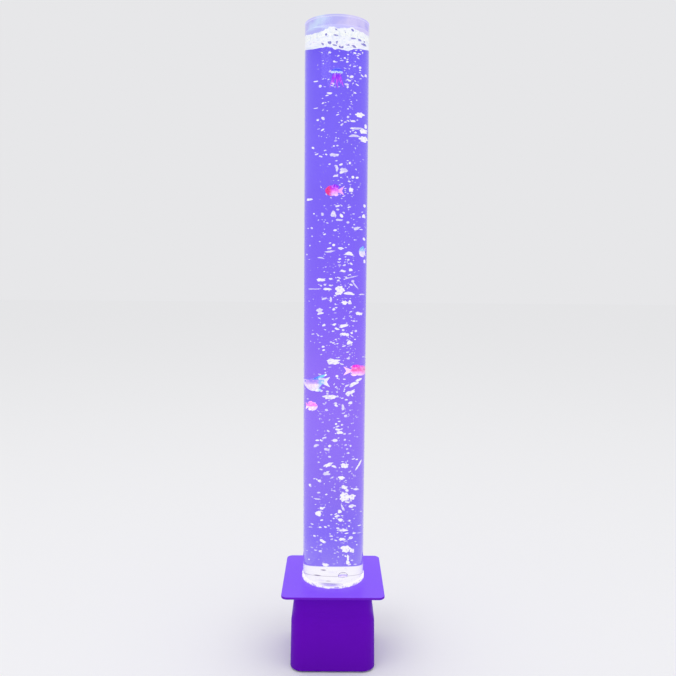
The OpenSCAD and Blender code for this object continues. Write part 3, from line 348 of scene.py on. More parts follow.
# ---- base disc ----
# A clear disc under the tube, bonded to it and screwed down. The lamps below fill it with
# white light, which shows scalloped and flecked with violet at its lower edge.

# the violet shade of the joint with the tube, at the disc's front
disc_mark = (-0.006, -0.0605, 0.1658)
disc_mark_size = (0.027, 0.02, 0.0042)
# the heights between which the violet at its foot fades
disc_foot = (0.1582, 0.1632)


def seen_from(tree, at, **turned):
    """The place on the object, counted from a point, which may be turned and sized."""
    return add(
        tree, "Mapping", {"Vector": spot(tree), "Location": at, **turned},
        vector_type="TEXTURE").outputs[0]


def length_of(tree, vector):
    return add(tree, "VectorMath", {0: vector}, operation="LENGTH").outputs["Value"]


def mark(tree, at, size):
    """1 in the middle of an oval spot and 0 at its edge."""
    return ranged(tree, length_of(tree, seen_from(tree, at, Scale=size)), 1, 0.4)


def lit_disc():
    made, tree, surface = material("lit acrylic")
    height = along(tree, spot(tree), "Z")
    waves = noise(tree, spot(tree, (1, 1, 1.6)), 130, 3, 0.8)
    low = ranged(tree, height, *disc_foot, 0.22, 0)
    violet = ranged(tree, calc(tree, "ADD", waves, low), 0.6, 0.72, 0, 0.85)
    front = calc(tree, "MULTIPLY", mark(tree, disc_mark, disc_mark_size), 0.9)
    violet = calc(tree, "MAXIMUM", violet, front)
    glow = blend(tree, violet, (252, 250, 255), (172, 146, 252))
    shade(tree, surface, (20, 18, 26), Roughness=0.12, light=glow, glow=0.97)
    return made


dress(lit_disc(), "base_disc")

# ---- air outlet ----
# A threaded plastic stem through the disc: a domed head with six fine holes above, a rubber
# washer, and a nut and hose barb below. The light from below leaves only its outline dark.


def outlet_finish():
    made, tree, surface = material("outlet")
    edge = add(tree, "LayerWeight", {"Blend": 0.5}).outputs["Facing"]
    tone = blend(tree, ranged(tree, edge, 0.5, 0.8), (236, 228, 255), (150, 134, 196))
    grain = noise(tree, spot(tree), 900)
    shade(tree, surface, tone, Roughness=ranged(tree, grain, 0, 1, 0.3, 0.5), glow=0.5)
    return made


dress(outlet_finish(), "air_nozzle", "nozzle_nut")
dress(plastic("washer", (60, 52, 88), 0.6, 0.2, 1500, 0.3), "nozzle_seal")

# ---- tube ----
# A clear acrylic pipe, 120 mm outside with a wall of 4 mm, polished at its ends and bonded to
# the disc. Over the foam its bore is misted by fine spray, which the light turns lavender.

tube_low, tube_high = 0.165, 1.215
tube_r, tube_wall = 0.06, 0.004
mist_low, mist_full = 1.186, 1.19


def add_shape(name, operator, **sizes):
    """Adds a primitive at its size and place, and opens it in edit mode with all selected."""
    bpy.ops.object.select_all(action="DESELECT")
    operator(**sizes)
    piece = bpy.context.object
    piece.name = piece.data.name = name
    bpy.ops.object.transform_apply(location=True, rotation=True, scale=True)
    bpy.ops.object.mode_set(mode="EDIT")
    bpy.ops.mesh.select_all(action="SELECT")
    return piece


def cylinder(name, sides, radius, low, high, ends):
    """An upright cylinder round the lamp's axis, in edit mode."""
    return add_shape(
        name, bpy.ops.mesh.primitive_cylinder_add, vertices=sides, radius=radius,
        depth=high - low, end_fill_type=ends, location=(0, 0, (low + high) / 2))


def finish(piece, angle=35, **modifiers):
    """Leaves edit mode, applies the modifiers by kind and settings, and smooths the piece."""
    bpy.ops.object.mode_set(mode="OBJECT")
    bpy.ops.object.select_all(action="DESELECT")
    piece.select_set(True)
    bpy.context.view_layer.objects.active = piece
    for kind, settings in modifiers.items():
        added = piece.modifiers.new(kind, kind)
        for name, value in settings.items():
            setattr(added, name, value)
        bpy.ops.object.modifier_apply(modifier=kind)
    bpy.ops.object.shade_smooth_by_angle(angle=math.radians(angle))
    return piece


def place(piece, paints, body="lamp_base", slot="clear_acrylic", replaced=()):
    """Gives a finished piece its materials and body, and its CAD nodes' place. The slot is not
    used.
    """
    for paint in paints:
        piece.data.materials.append(paint)
    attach(piece, body)
    if replaced:
        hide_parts(*replaced)


def lets_lamps_through(tree, shader, surface):
    """Light from the lamps passes the surface, and the eye sees the given shader."""
    shadow = add(tree, "LightPath").outputs["Is Shadow Ray"]
    clear = add(tree, "BsdfTransparent").outputs[0]
    both = add(tree, "MixShader", {0: shadow, 1: shader, 2: clear}).outputs[0]
    tree.links.new(both, surface)


def glows_in_part(tree, colour, strength, share, surface):
    """Gives light of its own by a share and is clear for the rest."""
    glow = add(tree, "Emission", {"Color": colour, "Strength": strength}).outputs[0]
    clear = add(tree, "BsdfTransparent").outputs[0]
    seen = add(tree, "MixShader", {0: share, 1: clear, 2: glow}).outputs[0]
    lets_lamps_through(tree, seen, surface)


def mist_colour(tree):
    """Spray on acrylic: cyan-white on the left, lavender in the middle, rosy on the right."""
    drops = noise(tree, spot(tree), 48, 4)
    across = calc(
        tree, "ADD", along(tree, spot(tree), "X"), ranged(tree, drops, 0.3, 0.7, -0.014, 0.014))
    return hues(tree, across, [
        (-0.054, (190, 186, 250)), (-0.04, (204, 216, 255)),
        (-0.03, (208, 224, 255)), (-0.014, (190, 190, 252)),
        (0.006, (194, 190, 253)), (0.026, (218, 210, 252)),
        (0.04, (210, 202, 252)), (0.054, (184, 174, 250))])


def tube_wall_clear():
    """The outer wall: it bends light as the water does, and is violet at its joint."""
    made, tree, surface = material("clear acrylic")
    waves = noise(tree, spot(tree, (1, 1, 0.2)), 12, 1)
    bump = bumped(tree, waves, 0.05, 0.001)
    joint = calc(tree, "MULTIPLY", mark(tree, disc_mark, disc_mark_size), 0.9)
    tint = blend(tree, joint, (250, 249, 255), (96, 72, 204))
    glass = add(
        tree, "BsdfPrincipled",
        {"Base Color": tint, "Roughness": 0.0, "IOR": 1.33,
         "Transmission Weight": 1.0, "Normal": bump}).outputs[0]
    lets_lamps_through(tree, glass, surface)
    return made


def tube_bore():
    """The bore: unseen where water wets it, and misted on its far side over the foam."""
    made, tree, surface = material("tube bore")
    over = ranged(tree, along(tree, spot(tree), "Z"), mist_low, mist_full)
    far = add(tree, "NewGeometry").outputs["Backfacing"]
    share = calc(tree, "MULTIPLY", over, calc(tree, "SUBTRACT", 1, far))
    glows_in_part(tree, mist_colour(tree), 0.95, share, surface)
    return made


def tube_rim():
    """The polished ends, which the light in the wall makes bright."""
    made, tree, surface = material("tube rim")
    streaks = noise(tree, spot(tree), 120, 2)
    glow = blend(tree, streaks, (206, 200, 252), (236, 234, 255))
    foot = ranged(tree, along(tree, spot(tree), "Z"), 0.3, 0.2)
    glow = blend(tree, foot, glow, (255, 253, 255))
    shade(tree, surface, (30, 28, 40), Roughness=0.1, light=glow, glow=0.9)
    return made


tube = cylinder("clear_tube", 160, tube_r, tube_low, tube_high, "NOTHING")
finish(
    tube, 25,
    SOLIDIFY={"thickness": tube_wall, "offset": -1, "use_even_offset": True},
    BEVEL={"width": 0.0005, "segments": 2, "limit_method": "ANGLE", "angle_limit": 1.0})
place(tube, [tube_wall_clear(), tube_bore(), tube_rim()], replaced=["tube"])
for face in tube.data.polygons:
    out = math.hypot(face.center.x, face.center.y)
    if abs(face.normal.z) > 0.3:
        face.material_index = 2
    elif out < tube_r - tube_wall / 2:
        face.material_index = 1

# ---- top cap ----
# A clear lid whose collar drops into the tube, with a vent hole in its middle. It only rests
# on the tube's rim, lifts off to fill or clean the column, and is misted as the tube's head is.

# the radii over which its edge turns brighter with painted light
cap_rim_glow = (0.0588, 0.0596)


# painted light: the misted cap glows lavender, and brighter at its edge
def cap_misted():
    made, tree, surface = material("cap acrylic")
    haze = noise(tree, spot(tree), 45, 4)
    rim = ranged(tree, length_of(tree, spot(tree, (1, 1, 0))), *cap_rim_glow, 0, 0.2)
    tone = blend(tree, rim, mist_colour(tree), (232, 230, 255))
    shade(
        tree, surface, (16, 14, 22),
        Roughness=ranged(tree, haze, 0, 1, 0.15, 0.35), Specular_IOR_Level=0.05,
        light=tone, glow=0.95)
    return made


dress(cap_misted(), "top_cap")

# ---- water ----
# The column of water. The lamps below light it evenly, a little more blue towards its top, and
# its floor on the disc is filled with white light.

water_r, water_low, water_high = 0.0558, 0.1655, 1.181
# how high the white light of the disc reaches up the water
band_high = 0.1722
fish_gleams = [(-0.0545, 0.01, 0.574), (0.0545, 0.01, 0.51)]
gleam_size = (0.012, 0.02, 0.012)
# the faint line across its floor: its Y, half its core and where it ends
floor_line = (0.003, 0.0008, 0.0034)
floor_dashes = [
    ((-0.0215, 0.006, water_low), (0.0065, 0.006, 1)),
    ((-0.0095, 0.0515, water_low), (0.0032, 0.007, 1)),
    ((-0.008, -0.033, water_low), (0.006, 0.003, 1)),
]


def pick(piece, kind, test):
    """Selects the edges or faces whose middle passes the test, and no others."""
    bpy.ops.mesh.select_mode(type=kind)
    bpy.ops.mesh.select_all(action="DESELECT")
    shape = bmesh.from_edit_mesh(piece.data)
    for part in shape.edges if kind == "EDGE" else shape.faces:
        if test(sum((v.co for v in part.verts), Vector()) / len(part.verts)):
            part.select_set(True)
    bmesh.update_edit_mesh(piece.data)


def inside_only(tree, colour, surface):
    """Seen from inside it gives its own light; from outside the eye passes it."""
    inside = add(tree, "NewGeometry").outputs["Backfacing"]
    glows_in_part(tree, colour, 1.0, inside, surface)


def lit_water():
    made, tree, surface = material("lit water")
    veils = noise(tree, spot(tree, (1, 1, 0.45)), 26, 4, 0.8)
    height = along(tree, spot(tree), "Z")
    column = hues(tree, height, [
        (0.1655, (150, 130, 247)), (0.24, (134, 109, 247)),
        (0.32, (142, 113, 244)), (0.47, (147, 113, 248)),
        (0.56, (146, 110, 249)), (0.67, (136, 103, 250)),
        (0.86, (127, 100, 249)), (1.02, (126, 103, 250)),
        (1.15, (121, 99, 250)), (1.181, (112, 90, 243))])
    hue = add(
        tree, "HueSaturation",
        {"Color": column, "Value": ranged(tree, veils, 0, 1, 0.94, 1.06)}).outputs[0]
    # a painted reflection of the pink and pale fish on the wall
    for at in fish_gleams:
        share = calc(tree, "MULTIPLY", mark(tree, at, gleam_size), 0.7)
        hue = blend(tree, share, hue, (226, 134, 226))
    band = ranged(tree, height, band_high, band_high - 0.0012)
    inside_only(tree, blend(tree, band, hue, (253, 250, 255)), surface)
    return made


def lit_floor():
    made, tree, surface = material("lit floor")
    ripples = noise(tree, spot(tree), 55, 4, 1.2)
    tint = ranged(tree, ripples, 0.52, 0.75, 0, 0.5)
    glow = blend(tree, tint, (253, 251, 255), (220, 208, 254))
    # a faint line of painted reflection where the floor's far half mirrors the tube's joint, and
    # dark dashes
    behind = calc(tree, "SUBTRACT", along(tree, spot(tree), "Y"), floor_line[0])
    dark = ranged(tree, calc(tree, "ABSOLUTE", behind), *floor_line[1:], 0.45, 0)
    for at, size in floor_dashes:
        dark = calc(tree, "MAXIMUM", dark, calc(tree, "MULTIPLY", mark(tree, at, size), 0.9))
    inside_only(tree, blend(tree, dark, glow, (116, 98, 150)), surface)
    return made


water = cylinder("water", 128, water_r, water_low, water_high, "NGON")
pick(water, "FACE", lambda at: at.z > water_high - 0.001)
bpy.ops.mesh.inset(thickness=0.004)
bpy.ops.transform.translate(value=(0, 0, 0.0015))
bpy.ops.mesh.inset(thickness=0.02)
bpy.ops.transform.translate(value=(0, 0, -0.001))
finish(water, 40)
place(water, [lit_water(), lit_floor()])
for face in water.data.polygons:
    if face.normal.z < -0.9:
        face.material_index = 1

# ---- foam ----
# A collar of fine white foam where the bubbles reach the surface, higher in the middle of the
# front, with darker gaps between its cells and drips along its lower edge.

foam_r = 0.0556
foam_middle = (1.1785, 1.192)
# its lower and upper edge on the tube's wall, by the angle in degrees from the right side
foam_edge = [
    (0, 1.1775, 1.196), (40, 1.177, 1.193), (61, 1.1768, 1.191), (70, 1.1782, 1.191),
    (79, 1.1738, 1.193), (88, 1.177, 1.194), (99, 1.1812, 1.193), (105, 1.1803, 1.192),
    (113, 1.1776, 1.19), (119, 1.1796, 1.19), (150, 1.178, 1.194), (180, 1.178, 1.1965),
    (205, 1.1795, 1.191), (217, 1.179, 1.1892), (229, 1.1795, 1.1885), (241, 1.181, 1.19),
    (250, 1.181, 1.1935), (258, 1.18, 1.1965), (272, 1.1785, 1.195), (285, 1.179, 1.1948),
    (299, 1.179, 1.1962), (318, 1.1775, 1.1938), (335, 1.1785, 1.1935), (360, 1.1775, 1.196),
]
drip_pitch, drip_depth = 0.0045, 0.0022


def reshape(piece, moved):
    """Moves every vertex in edit mode to the place that the function gives for it."""
    shape = bmesh.from_edit_mesh(piece.data)
    for v in shape.verts:
        v.co = moved(v.co)
    bmesh.update_edit_mesh(piece.data)


def foam_height(turn, edge):
    """The foam's edge on the wall at an angle; edge is 1 for the lower and 2 for the upper."""
    for start, end in zip(foam_edge, foam_edge[1:]):
        if turn <= end[0]:
            share = (turn - start[0]) / (end[0] - start[0])
            share = share * share * (3 - 2 * share)
            return start[edge] + (end[edge] - start[edge]) * share
    return foam_edge[-1][edge]


# painted light: the foam glows white, and the darker gaps between its cells are painted shade
def foam_white():
    made, tree, surface = material("foam white")
    cells = add(tree, "TexVoronoi", {"Vector": spot(tree), "Scale": 260}).outputs["Distance"]
    pale = hues(tree, cells, [
        (0.0, (255, 255, 252)), (0.5, (250, 255, 248)), (0.9, (226, 234, 246))])
    gaps = noise(tree, spot(tree, (1, 1, 2.2)), 130, 2)
    dark = ranged(tree, gaps, 0.64, 0.7, 0, 0.45)
    tone = blend(tree, dark, pale, (160, 152, 226))
    bump = bumped(tree, cells, 0.5, 0.001)
    shade(tree, surface, (70, 68, 80), Roughness=0.6, Normal=bump, light=tone, glow=0.93)
    return made


def foam_lump(at):
    """The foam's place for a place on a plain disc of z 0 to 1."""
    turn = math.degrees(math.atan2(at.y, at.x)) % 360
    out = (at.xy.length / foam_r) ** 2
    low = foam_height(turn, 1) * out + foam_middle[0] * (1 - out)
    high = foam_height(turn, 2) * out + foam_middle[1] * (1 - out)
    low += drip_depth * cloud.noise(Vector((at.x, at.y, 0)) / drip_pitch)
    return Vector((at.x, at.y, low + (high - low) * at.z))


foam = cylinder("foam", 220, foam_r, 0, 1, "NGON")
pick(foam, "EDGE", lambda at: 0.4 < at.z < 0.6)
bpy.ops.mesh.subdivide(number_cuts=5)
pick(foam, "FACE", lambda at: at.xy.length < 0.01)
for _ in range(9):
    bpy.ops.mesh.inset(thickness=0.0055, use_boundary=True)
bpy.ops.mesh.select_all(action="SELECT")
reshape(foam, foam_lump)
lumps = bpy.data.textures.new("foam lumps", "CLOUDS")
lumps.noise_scale = 0.007
lumps.noise_depth = 2
finish(
    foam, 60,
    DISPLACE={"texture": lumps, "texture_coords": "LOCAL", "direction": "Z", "strength": 0.006,
              "mid_level": 0.5})
place(foam, [foam_white()])

# ---- air bubbles ----
# Air rises from the outlet in pulses, as flattened bubbles from a pinhead to a thumbnail in
# size, densest right of the middle. They catch the light as white lenses with a violet edge.


def air(name, scale, gleam, first, second, weight, shown):
    """Air in the light: two colours in clouds, and seen by how it slopes to the eye."""
    made, tree, surface = material(name)
    clouds = ranged(tree, noise(tree, spot(tree), scale, 2), *gleam)
    tone = blend(tree, clouds, first, second)
    facing = add(tree, "LayerWeight", {"Blend": weight}).outputs["Facing"]
    glows_in_part(tree, tone, 1.0, ranged(tree, facing, *shown), surface)
    return made


def small_forms():
    """Four bubbles of a few dozen faces, 1 m across: round, lens, cap and bent."""
    forms = []
    for name, squash, bend in (
        ("round", 0.9, 0.0), ("lens", 0.55, 0.0), ("cap", 0.6, 0.35), ("bent", 0.5, -0.45)
    ):
        form = add_shape(
            "bubble_" + name, bpy.ops.mesh.primitive_uv_sphere_add, segments=9, ring_count=6,
            radius=0.5)
        bpy.ops.transform.resize(value=(1, 0.85, squash), center_override=(0, 0, 0))
        reshape(form, lambda at: at + Vector((0, 0, bend * (0.25 - at.x ** 2))))
        forms.append(finish(form, 180))
    return forms


def large_forms():
    """Four ragged swarms of air, 1 m across, as large bubbles look where they break up."""
    forms = []
    for index in range(4):
        form = add_shape(
            "swarm_%d" % index, bpy.ops.mesh.primitive_ico_sphere_add, subdivisions=4,
            radius=0.42, location=(3 * index, 0, 0))
        ragged = bpy.data.textures.new("ragged %d" % index, "CLOUDS")
        ragged.noise_scale = 0.32
        ragged.noise_depth = 2
        finish(
            form, 180,
            DISPLACE={"texture": ragged, "texture_coords": "LOCAL", "strength": 0.7,
                      "mid_level": 0.55},
            SMOOTH={"iterations": 2})
        form.data.transform(Matrix.Translation((-3 * index, 0, 0)))
        forms.append(form)
    return forms


def linked(name, data):
    """A new object of this data, in the scene."""
    made = bpy.data.objects.new(name, data)
    bpy.context.scene.collection.objects.link(made)
    return made


def joined(name, parts):
    """The parts as one piece."""
    bpy.ops.object.select_all(action="DESELECT")
    for part in parts:
        part.select_set(True)
    bpy.context.view_layer.objects.active = parts[0]
    bpy.ops.object.join()
    parts[0].name = parts[0].data.name = name
    return parts[0]


def scatter(name, forms, places, paint):
    """One piece of many bubbles, less deep than wide.

    A bubble is (place, width, height, tilt, form number).
    """
    copies = []
    for at, wide, high, tilt, kind in places:
        mesh = forms[kind % len(forms)].data.copy()
        mesh.transform(
            Matrix.Translation(at) @ Matrix.Rotation(tilt, 4, "Y")
            @ Matrix.Diagonal((wide, 0.7 * wide, high, 1)))
        copies.append(linked(name, mesh))
    piece = joined(name, copies)
    piece.data.materials.clear()
    place(piece, [paint])


bright_air, pale_air, faint_air = (
    air(name, 240, (0.5, 0.7), (255, 253, 255), (214, 202, 255), 0.35, shown)
    for name, shown in (
        ("bright air", (0.55, 0.95, 1, 0.05)), ("pale air", (0.45, 0.9, 0.72, 0.05)),
        ("faint air", (0.3, 0.85, 0.5, 0.05))))
small = small_forms()
large = large_forms()

# the larger ones: X, Y and Z of the middle, width and height in mm, tilt in degrees
swarms = [
    (35, -10, 1051, 17, 9, 8), (46, -10, 1122, 8, 5, 0), (42, -8, 1022, 20, 9, 4),
    (47, -8, 1031, 7, 10, 0), (43, -8, 1008, 22, 11, 4), (-1, -25, 938, 11, 4, 10),
    (24, -25, 913, 9, 8, 0), (-45, -18, 896, 16, 5, 4), (48, -12, 886, 8, 6, -10),
    (47, -14, 866, 12, 7, -8), (48, -14, 824, 9, 5, -20), (50, -12, 782, 7, 8, 0),
    (8, -25, 806, 10, 5, 0), (22, -25, 796, 18, 7, -8), (-24, -25, 747, 18, 6, 6),
    (-13, -25, 730, 16, 5, 0), (7, -27, 729, 16, 17, 0), (22, -22, 722, 24, 6, -6),
    (12, -25, 764, 11, 4, -10), (25, -25, 766, 7, 6, 0), (15, -25, 705, 11, 8, 10),
    (24, -25, 705, 8, 8, 0), (40, -20, 684, 18, 6, -4), (14, -25, 661, 17, 7, 16),
    (14, -25, 646, 12, 6, 0), (24, -25, 629, 14, 7, 24), (-3, -25, 593, 26, 11, 4),
    (41, -18, 557, 15, 6, 24), (-8, -25, 526, 27, 9, 4), (31, -22, 549, 22, 7, 30),
    (25, -20, 533, 22, 7, 28), (9, -25, 457, 12, 7, 0), (-10, -25, 394, 18, 7, 30),
    (0, -25, 391, 12, 4, -24), (17, -25, 392, 16, 9, 0), (43, -20, 391, 26, 4, 56),
    (12, -25, 369, 12, 8, 0), (-24, -25, 362, 8, 6, -30), (17, -25, 350, 13, 7, -12),
    (18, -25, 330, 18, 21, 0), (30, -23, 330, 14, 12, 20), (-26, -25, 297, 14, 11, -24),
    (-20, -25, 308, 8, 5, 0), (10, -25, 302, 7, 8, 0), (11, -25, 286, 9, 7, 0),
    (16, -22, 264, 20, 4, 0), (-18, -25, 243, 14, 5, -26), (14, -22, 246, 12, 6, 0),
    (20, -25, 228, 19, 15, 0), (31, -22, 222, 12, 8, -30), (24, -22, 208, 5, 12, 0),
    (24, -22, 199, 7, 9, 10), (-13, -25, 196, 12, 7, 0), (20, -22, 186, 8, 5, 0),
]
luck = random.Random(7)


def spots(rows, wider=1.0, taller=1.0):
    """Rows given in mm and degrees, as scatter wants them."""
    return [
        (Vector((x, y, z)) / 1000, w / 1000 * wider, h / 1000 * taller, -math.radians(tilt), i)
        for i, (x, y, z, w, h, tilt) in enumerate(rows)]


scatter("large_bubbles", large, spots(swarms), bright_air)

# those right under the foam and round the jellyfish: X, Z, width and height in mm
top_bubbles = [
    (-11, 1158, 5, 4), (2, 1152, 5, 4), (12, 1148, 4, 6), (17, 1155, 4, 4), (28, 1158, 6, 4),
    (40, 1163, 6, 4), (47, 1159, 4, 5), (35, 1149, 7, 4), (-4, 1142, 5, 4), (16, 1142, 5, 6),
    (39, 1132, 6, 8), (48, 1119, 9, 6), (23, 1116, 8, 6), (20, 1109, 6, 6), (-6, 1103, 6, 6),
    (34, 1102, 8, 5), (-26, 1099, 6, 6), (29, 1088, 6, 5), (-15, 1082, 6, 4), (17, 1098, 4, 8),
    (6, 1170, 6, 4), (14, 1172, 8, 5), (22, 1169, 6, 4), (32, 1170, 8, 5), (42, 1170, 6, 4),
    (26, 1174, 9, 6), (10, 1164, 4, 3), (36, 1176, 7, 5), (2, 1174, 5, 4), (-6, 1173, 4, 3),
    (19, 1176, 10, 6), (-22, 1176, 8, 4), (-38, 1177, 7, 4), (30, 1163, 5, 3), (38, 1156, 5, 4),
]
# bright ones between the large ones: X, Z, width and height in mm
loose_bubbles = [
    (3, 474, 4, 4), (8, 479, 5, 4), (13, 472, 4, 6), (0, 467, 4, 3), (6, 463, 9, 4),
    (12, 464, 5, 4), (-28, 441, 7, 5), (-21, 442, 6, 6), (-7, 431, 5, 6), (22, 425, 4, 3),
    (34, 405, 5, 4), (40, 404, 6, 5), (-42, 352, 6, 6), (-12, 336, 4, 5), (-22, 270, 5, 5),
    (-13, 272, 5, 6), (-32, 252, 5, 4), (37, 312, 5, 4), (27, 283, 4, 6), (-10, 381, 6, 5),
    (-3, 812, 5, 5), (-10, 806, 8, 5), (7, 786, 5, 5), (2, 696, 4, 5), (-2, 692, 5, 4),
    (26, 688, 5, 4), (-24, 684, 12, 6), (-26, 676, 5, 4), (-1, 664, 7, 4), (28, 648, 4, 8),
    (-18, 615, 5, 5), (4, 628, 4, 4), (4, 566, 5, 5), (16, 560, 5, 4), (40, 552, 6, 5),
    (-34, 1108, 9, 4), (-30, 1039, 5, 4), (-22, 1021, 7, 5), (-39, 989, 6, 6), (-32, 978, 7, 5),
    (22, 962, 4, 5), (35, 936, 6, 7), (-41, 843, 5, 6), (-18, 832, 5, 5), (9, 866, 5, 9),
]
ways = [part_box(node) for node in (
    "jellyfish", "red_fish", "blue_fish", "pink_fish", "cyan_fish", "pale_fish")]
# the random ones: how far from the axis, the middle and spread of their X, and the ranges
# of their Y and Z
swarm_r, swarm_x, swarm_spread = 0.047, 0.012, 0.026
swarm_y, swarm_z = (-0.05, 0.045), (0.18, 1.172)
# how deep the given ones lie, in mm: most of them, those under the foam, and those over
# edge_x among these, which keep clear of the blue fish and reach last_x at most
loose_y, top_y, edge_y, edge_x, last_x = -25, -22.9, -29, 32, 44
top_size = 0.9


def free_spot(at, room):
    """True where a bubble stays off the wall and out of the ways the figures drift on."""
    if math.hypot(at.x, at.y) > swarm_r - room:
        return False
    return not any(
        low.x - room < at.x < high.x + room and low.y - room < at.y < high.y + room
        for low, high in ways)


def rising(count, least, spread):
    """Random bubbles over the water's height, most of them right of the middle."""
    found = []
    while len(found) < count:
        at = Vector((
            luck.gauss(swarm_x, swarm_spread), luck.uniform(*swarm_y), luck.uniform(*swarm_z)))
        wide = least + spread * luck.random() ** 2.4
        if free_spot(at, wide):
            tall = wide * luck.uniform(0.5, 1.3)
            found.append((at, wide, tall, luck.uniform(-0.9, 0.9), luck.randrange(4)))
    return found


scatter(
    "small_bubbles", small, rising(64, 0.0018, 0.0046)
    + [(Vector((x, loose_y, z)) / 1000, w / 1000, h / 1000, luck.uniform(-0.6, 0.6), i)
       for i, (x, z, w, h) in enumerate(loose_bubbles)],
    bright_air)
scatter(
    "pale_bubbles", small, rising(230, 0.002, 0.005)
    + [(Vector((min(x, last_x), edge_y if x > edge_x else top_y, z)) / 1000,
        top_size * w / 1000, top_size * h / 1000, luck.uniform(-0.6, 0.6), i)
       for i, (x, z, w, h) in enumerate(top_bubbles)],
    pale_air)
scatter("fine_bubbles", small, rising(760, 0.0014, 0.0034), faint_air)

# thin veils of air that trail from the larger ones, given as these are
wisps = [
    (30, -12, 1026, 22, 4, 6), (27, -12, 1012, 24, 5, 2), (-4, -25, 976, 18, 6, 0),
    (12, -25, 948, 14, 10, 0), (1, -25, 952, 5, 12, 0), (-4, -25, 868, 12, 12, 0),
    (5, -25, 858, 14, 4, 0), (34, -20, 843, 12, 7, 24), (-10, -25, 800, 18, 4, 10),
    (-24, -25, 788, 16, 3, -10), (-36, -22, 730, 30, 2.4, 2), (25, -24, 752, 28, 3, 16),
    (33, -24, 738, 18, 3, -50), (45, -16, 720, 18, 3, 0), (-18, -25, 712, 12, 4, 24),
    (-7, -25, 710, 4, 12, 0), (-26, -25, 690, 12, 10, 20), (-30, -22, 430, 14, 5, 30),
    (-12, -24, 424, 12, 5, 0), (-12, -24, 376, 14, 7, 0), (-28, -24, 326, 14, 2.6, 0),
    (15, -24, 309, 5, 14, 20), (-22, -24, 560, 14, 5, 0), (14, -24, 505, 5, 14, 0),
]
scatter("air_veils", large, spots(wisps), faint_air)

# the next bubble, which swells over the outlet before it breaks free
outlet_at, outlet_bubble_r = (0.014, 0, 0.1675), 0.0068
swelling = add_shape(
    "swelling_bubble", bpy.ops.mesh.primitive_uv_sphere_add, segments=28, ring_count=16,
    radius=outlet_bubble_r, location=outlet_at)
bpy.ops.mesh.bisect(plane_co=outlet_at, plane_no=(0, 0, 1), clear_inner=True, use_fill=True)
finish(swelling, 40)
swelling_air = air(
    "swelling air", 300, (0.4, 0.6), (92, 76, 140), (128, 112, 184), 0.5,
    (0.5, 0.7, 0.05, 0.9))
place(swelling, [swelling_air])

# these dark spots are painted shade in the foam, partly the darker water showing through
# larger bubbles in the foam, through which darker water shows: X, Y and Z of the middle,
# width and height in mm, tilt in degrees
foam_gaps = [
    (-19, -52, 1184, 4, 4, 0), (-2, -55, 1192, 4, 2, -40), (14, -53, 1188, 3, 2, -30),
    (27, -49, 1193, 6, 3, -40), (-2, -55, 1182, 9, 2, -8), (28, -48, 1179, 11, 2, -4),
    (39, -39, 1179, 9, 3, -16), (47, -29, 1179, 6, 2, -10), (-11, -15, 1177, 5, 6, 20),
    (0, -19, 1177, 3, 7, 0), (-3, 8, 1176, 6, 2, -20), (-21, -9, 1177, 3, 7, 20),
    (5, 24, 1176, 6, 4, -30), (14, 3, 1176, 6, 2, 0), (21, 16, 1176, 7, 3, -40),
    (41, -13, 1177, 13, 4, -20),
]
# their clear edges take a part of what shows, so they are made larger
scatter(
    "foam_gaps", small[:1], spots(foam_gaps, 10 / 9, 10 / 7),
    air("foam shade", 420, (0.35, 0.65), (112, 104, 196), (164, 160, 224), 0.3,
        (0.3, 0.9, 1, 0)))
for form in small + large:
    bpy.data.objects.remove(form)

# ---- fish ----
# Five toy fish, each moulded in one piece of soft plastic, tinted on its back and white below.
# They are weighted to float level, and the rising bubbles carry them up and down.

fish_breadth = 0.011
# the body's share of the length, and the eye's of the body's
body_share, eye_at = 0.76, 0.17


def fish_swell(t, lag):
    """A fish's breadth from its nose, 0, to its tail's root, 1; lag moves the widest back."""
    bulge = max(math.sin(math.pi * min(t, 1) ** lag), 0)
    return 0.1 + 0.1 * t + 0.86 * bulge ** 0.95


def fish_middle(t, height, lag, sag):
    """The body's middle: sag straightens the back and hangs the belly."""
    return sag * height / 2 * (0.6 - fish_swell(t, lag))


def ring(here, there, grow):
    """Extrudes the selected face from here to there, and sizes it there."""
    bpy.ops.mesh.extrude_region_move(TRANSFORM_OT_translate={"value": tuple(there - here)})
    bpy.ops.transform.resize(value=grow, center_override=tuple(there))


def face_outwards():
    """Points the faces of the piece in edit mode outwards."""
    bpy.ops.mesh.select_all(action="SELECT")
    bpy.ops.mesh.normals_make_consistent(inside=False)


def fish_body(length, height, lag, sag):
    """The body, extruded ring by ring from the nose towards the tail."""
    body_l, nose = body_share * length, -length / 2
    here = Vector((nose, 0, fish_middle(0, height, lag, sag)))
    last = fish_swell(0, lag)
    body = add_shape(
        "fish_body", bpy.ops.mesh.primitive_circle_add, vertices=20, radius=1,
        fill_type="NGON", rotation=(0, math.pi / 2, 0), location=here)
    bpy.ops.transform.resize(
        value=(1, fish_breadth / 2 * last, height / 2 * last), center_override=here)
    steps = 16
    for k in range(1, steps + 1):
        t = k / steps
        there = Vector((nose + body_l * t, 0, fish_middle(t, height, lag, sag)))
        swell = fish_swell(t, lag)
        ring(here, there, (1, swell / last, swell / last))
        here, last = there, swell
    face_outwards()
    # the lips and the gill cover stand a little proud
    gill = nose + 0.3 * body_l
    lip = nose + 0.06 * body_l

    def moulded_in(at):
        if abs(at.x - gill) < 0.04 * body_l:
            return Vector((at.x, at.y * 1.07, at.z * 1.03))
        if abs(at.x - lip) < 0.03 * body_l:
            return Vector((at.x, at.y * 1.1, at.z * 1.12))
        return at

    reshape(body, moulded_in)
    return finish(body, 50)


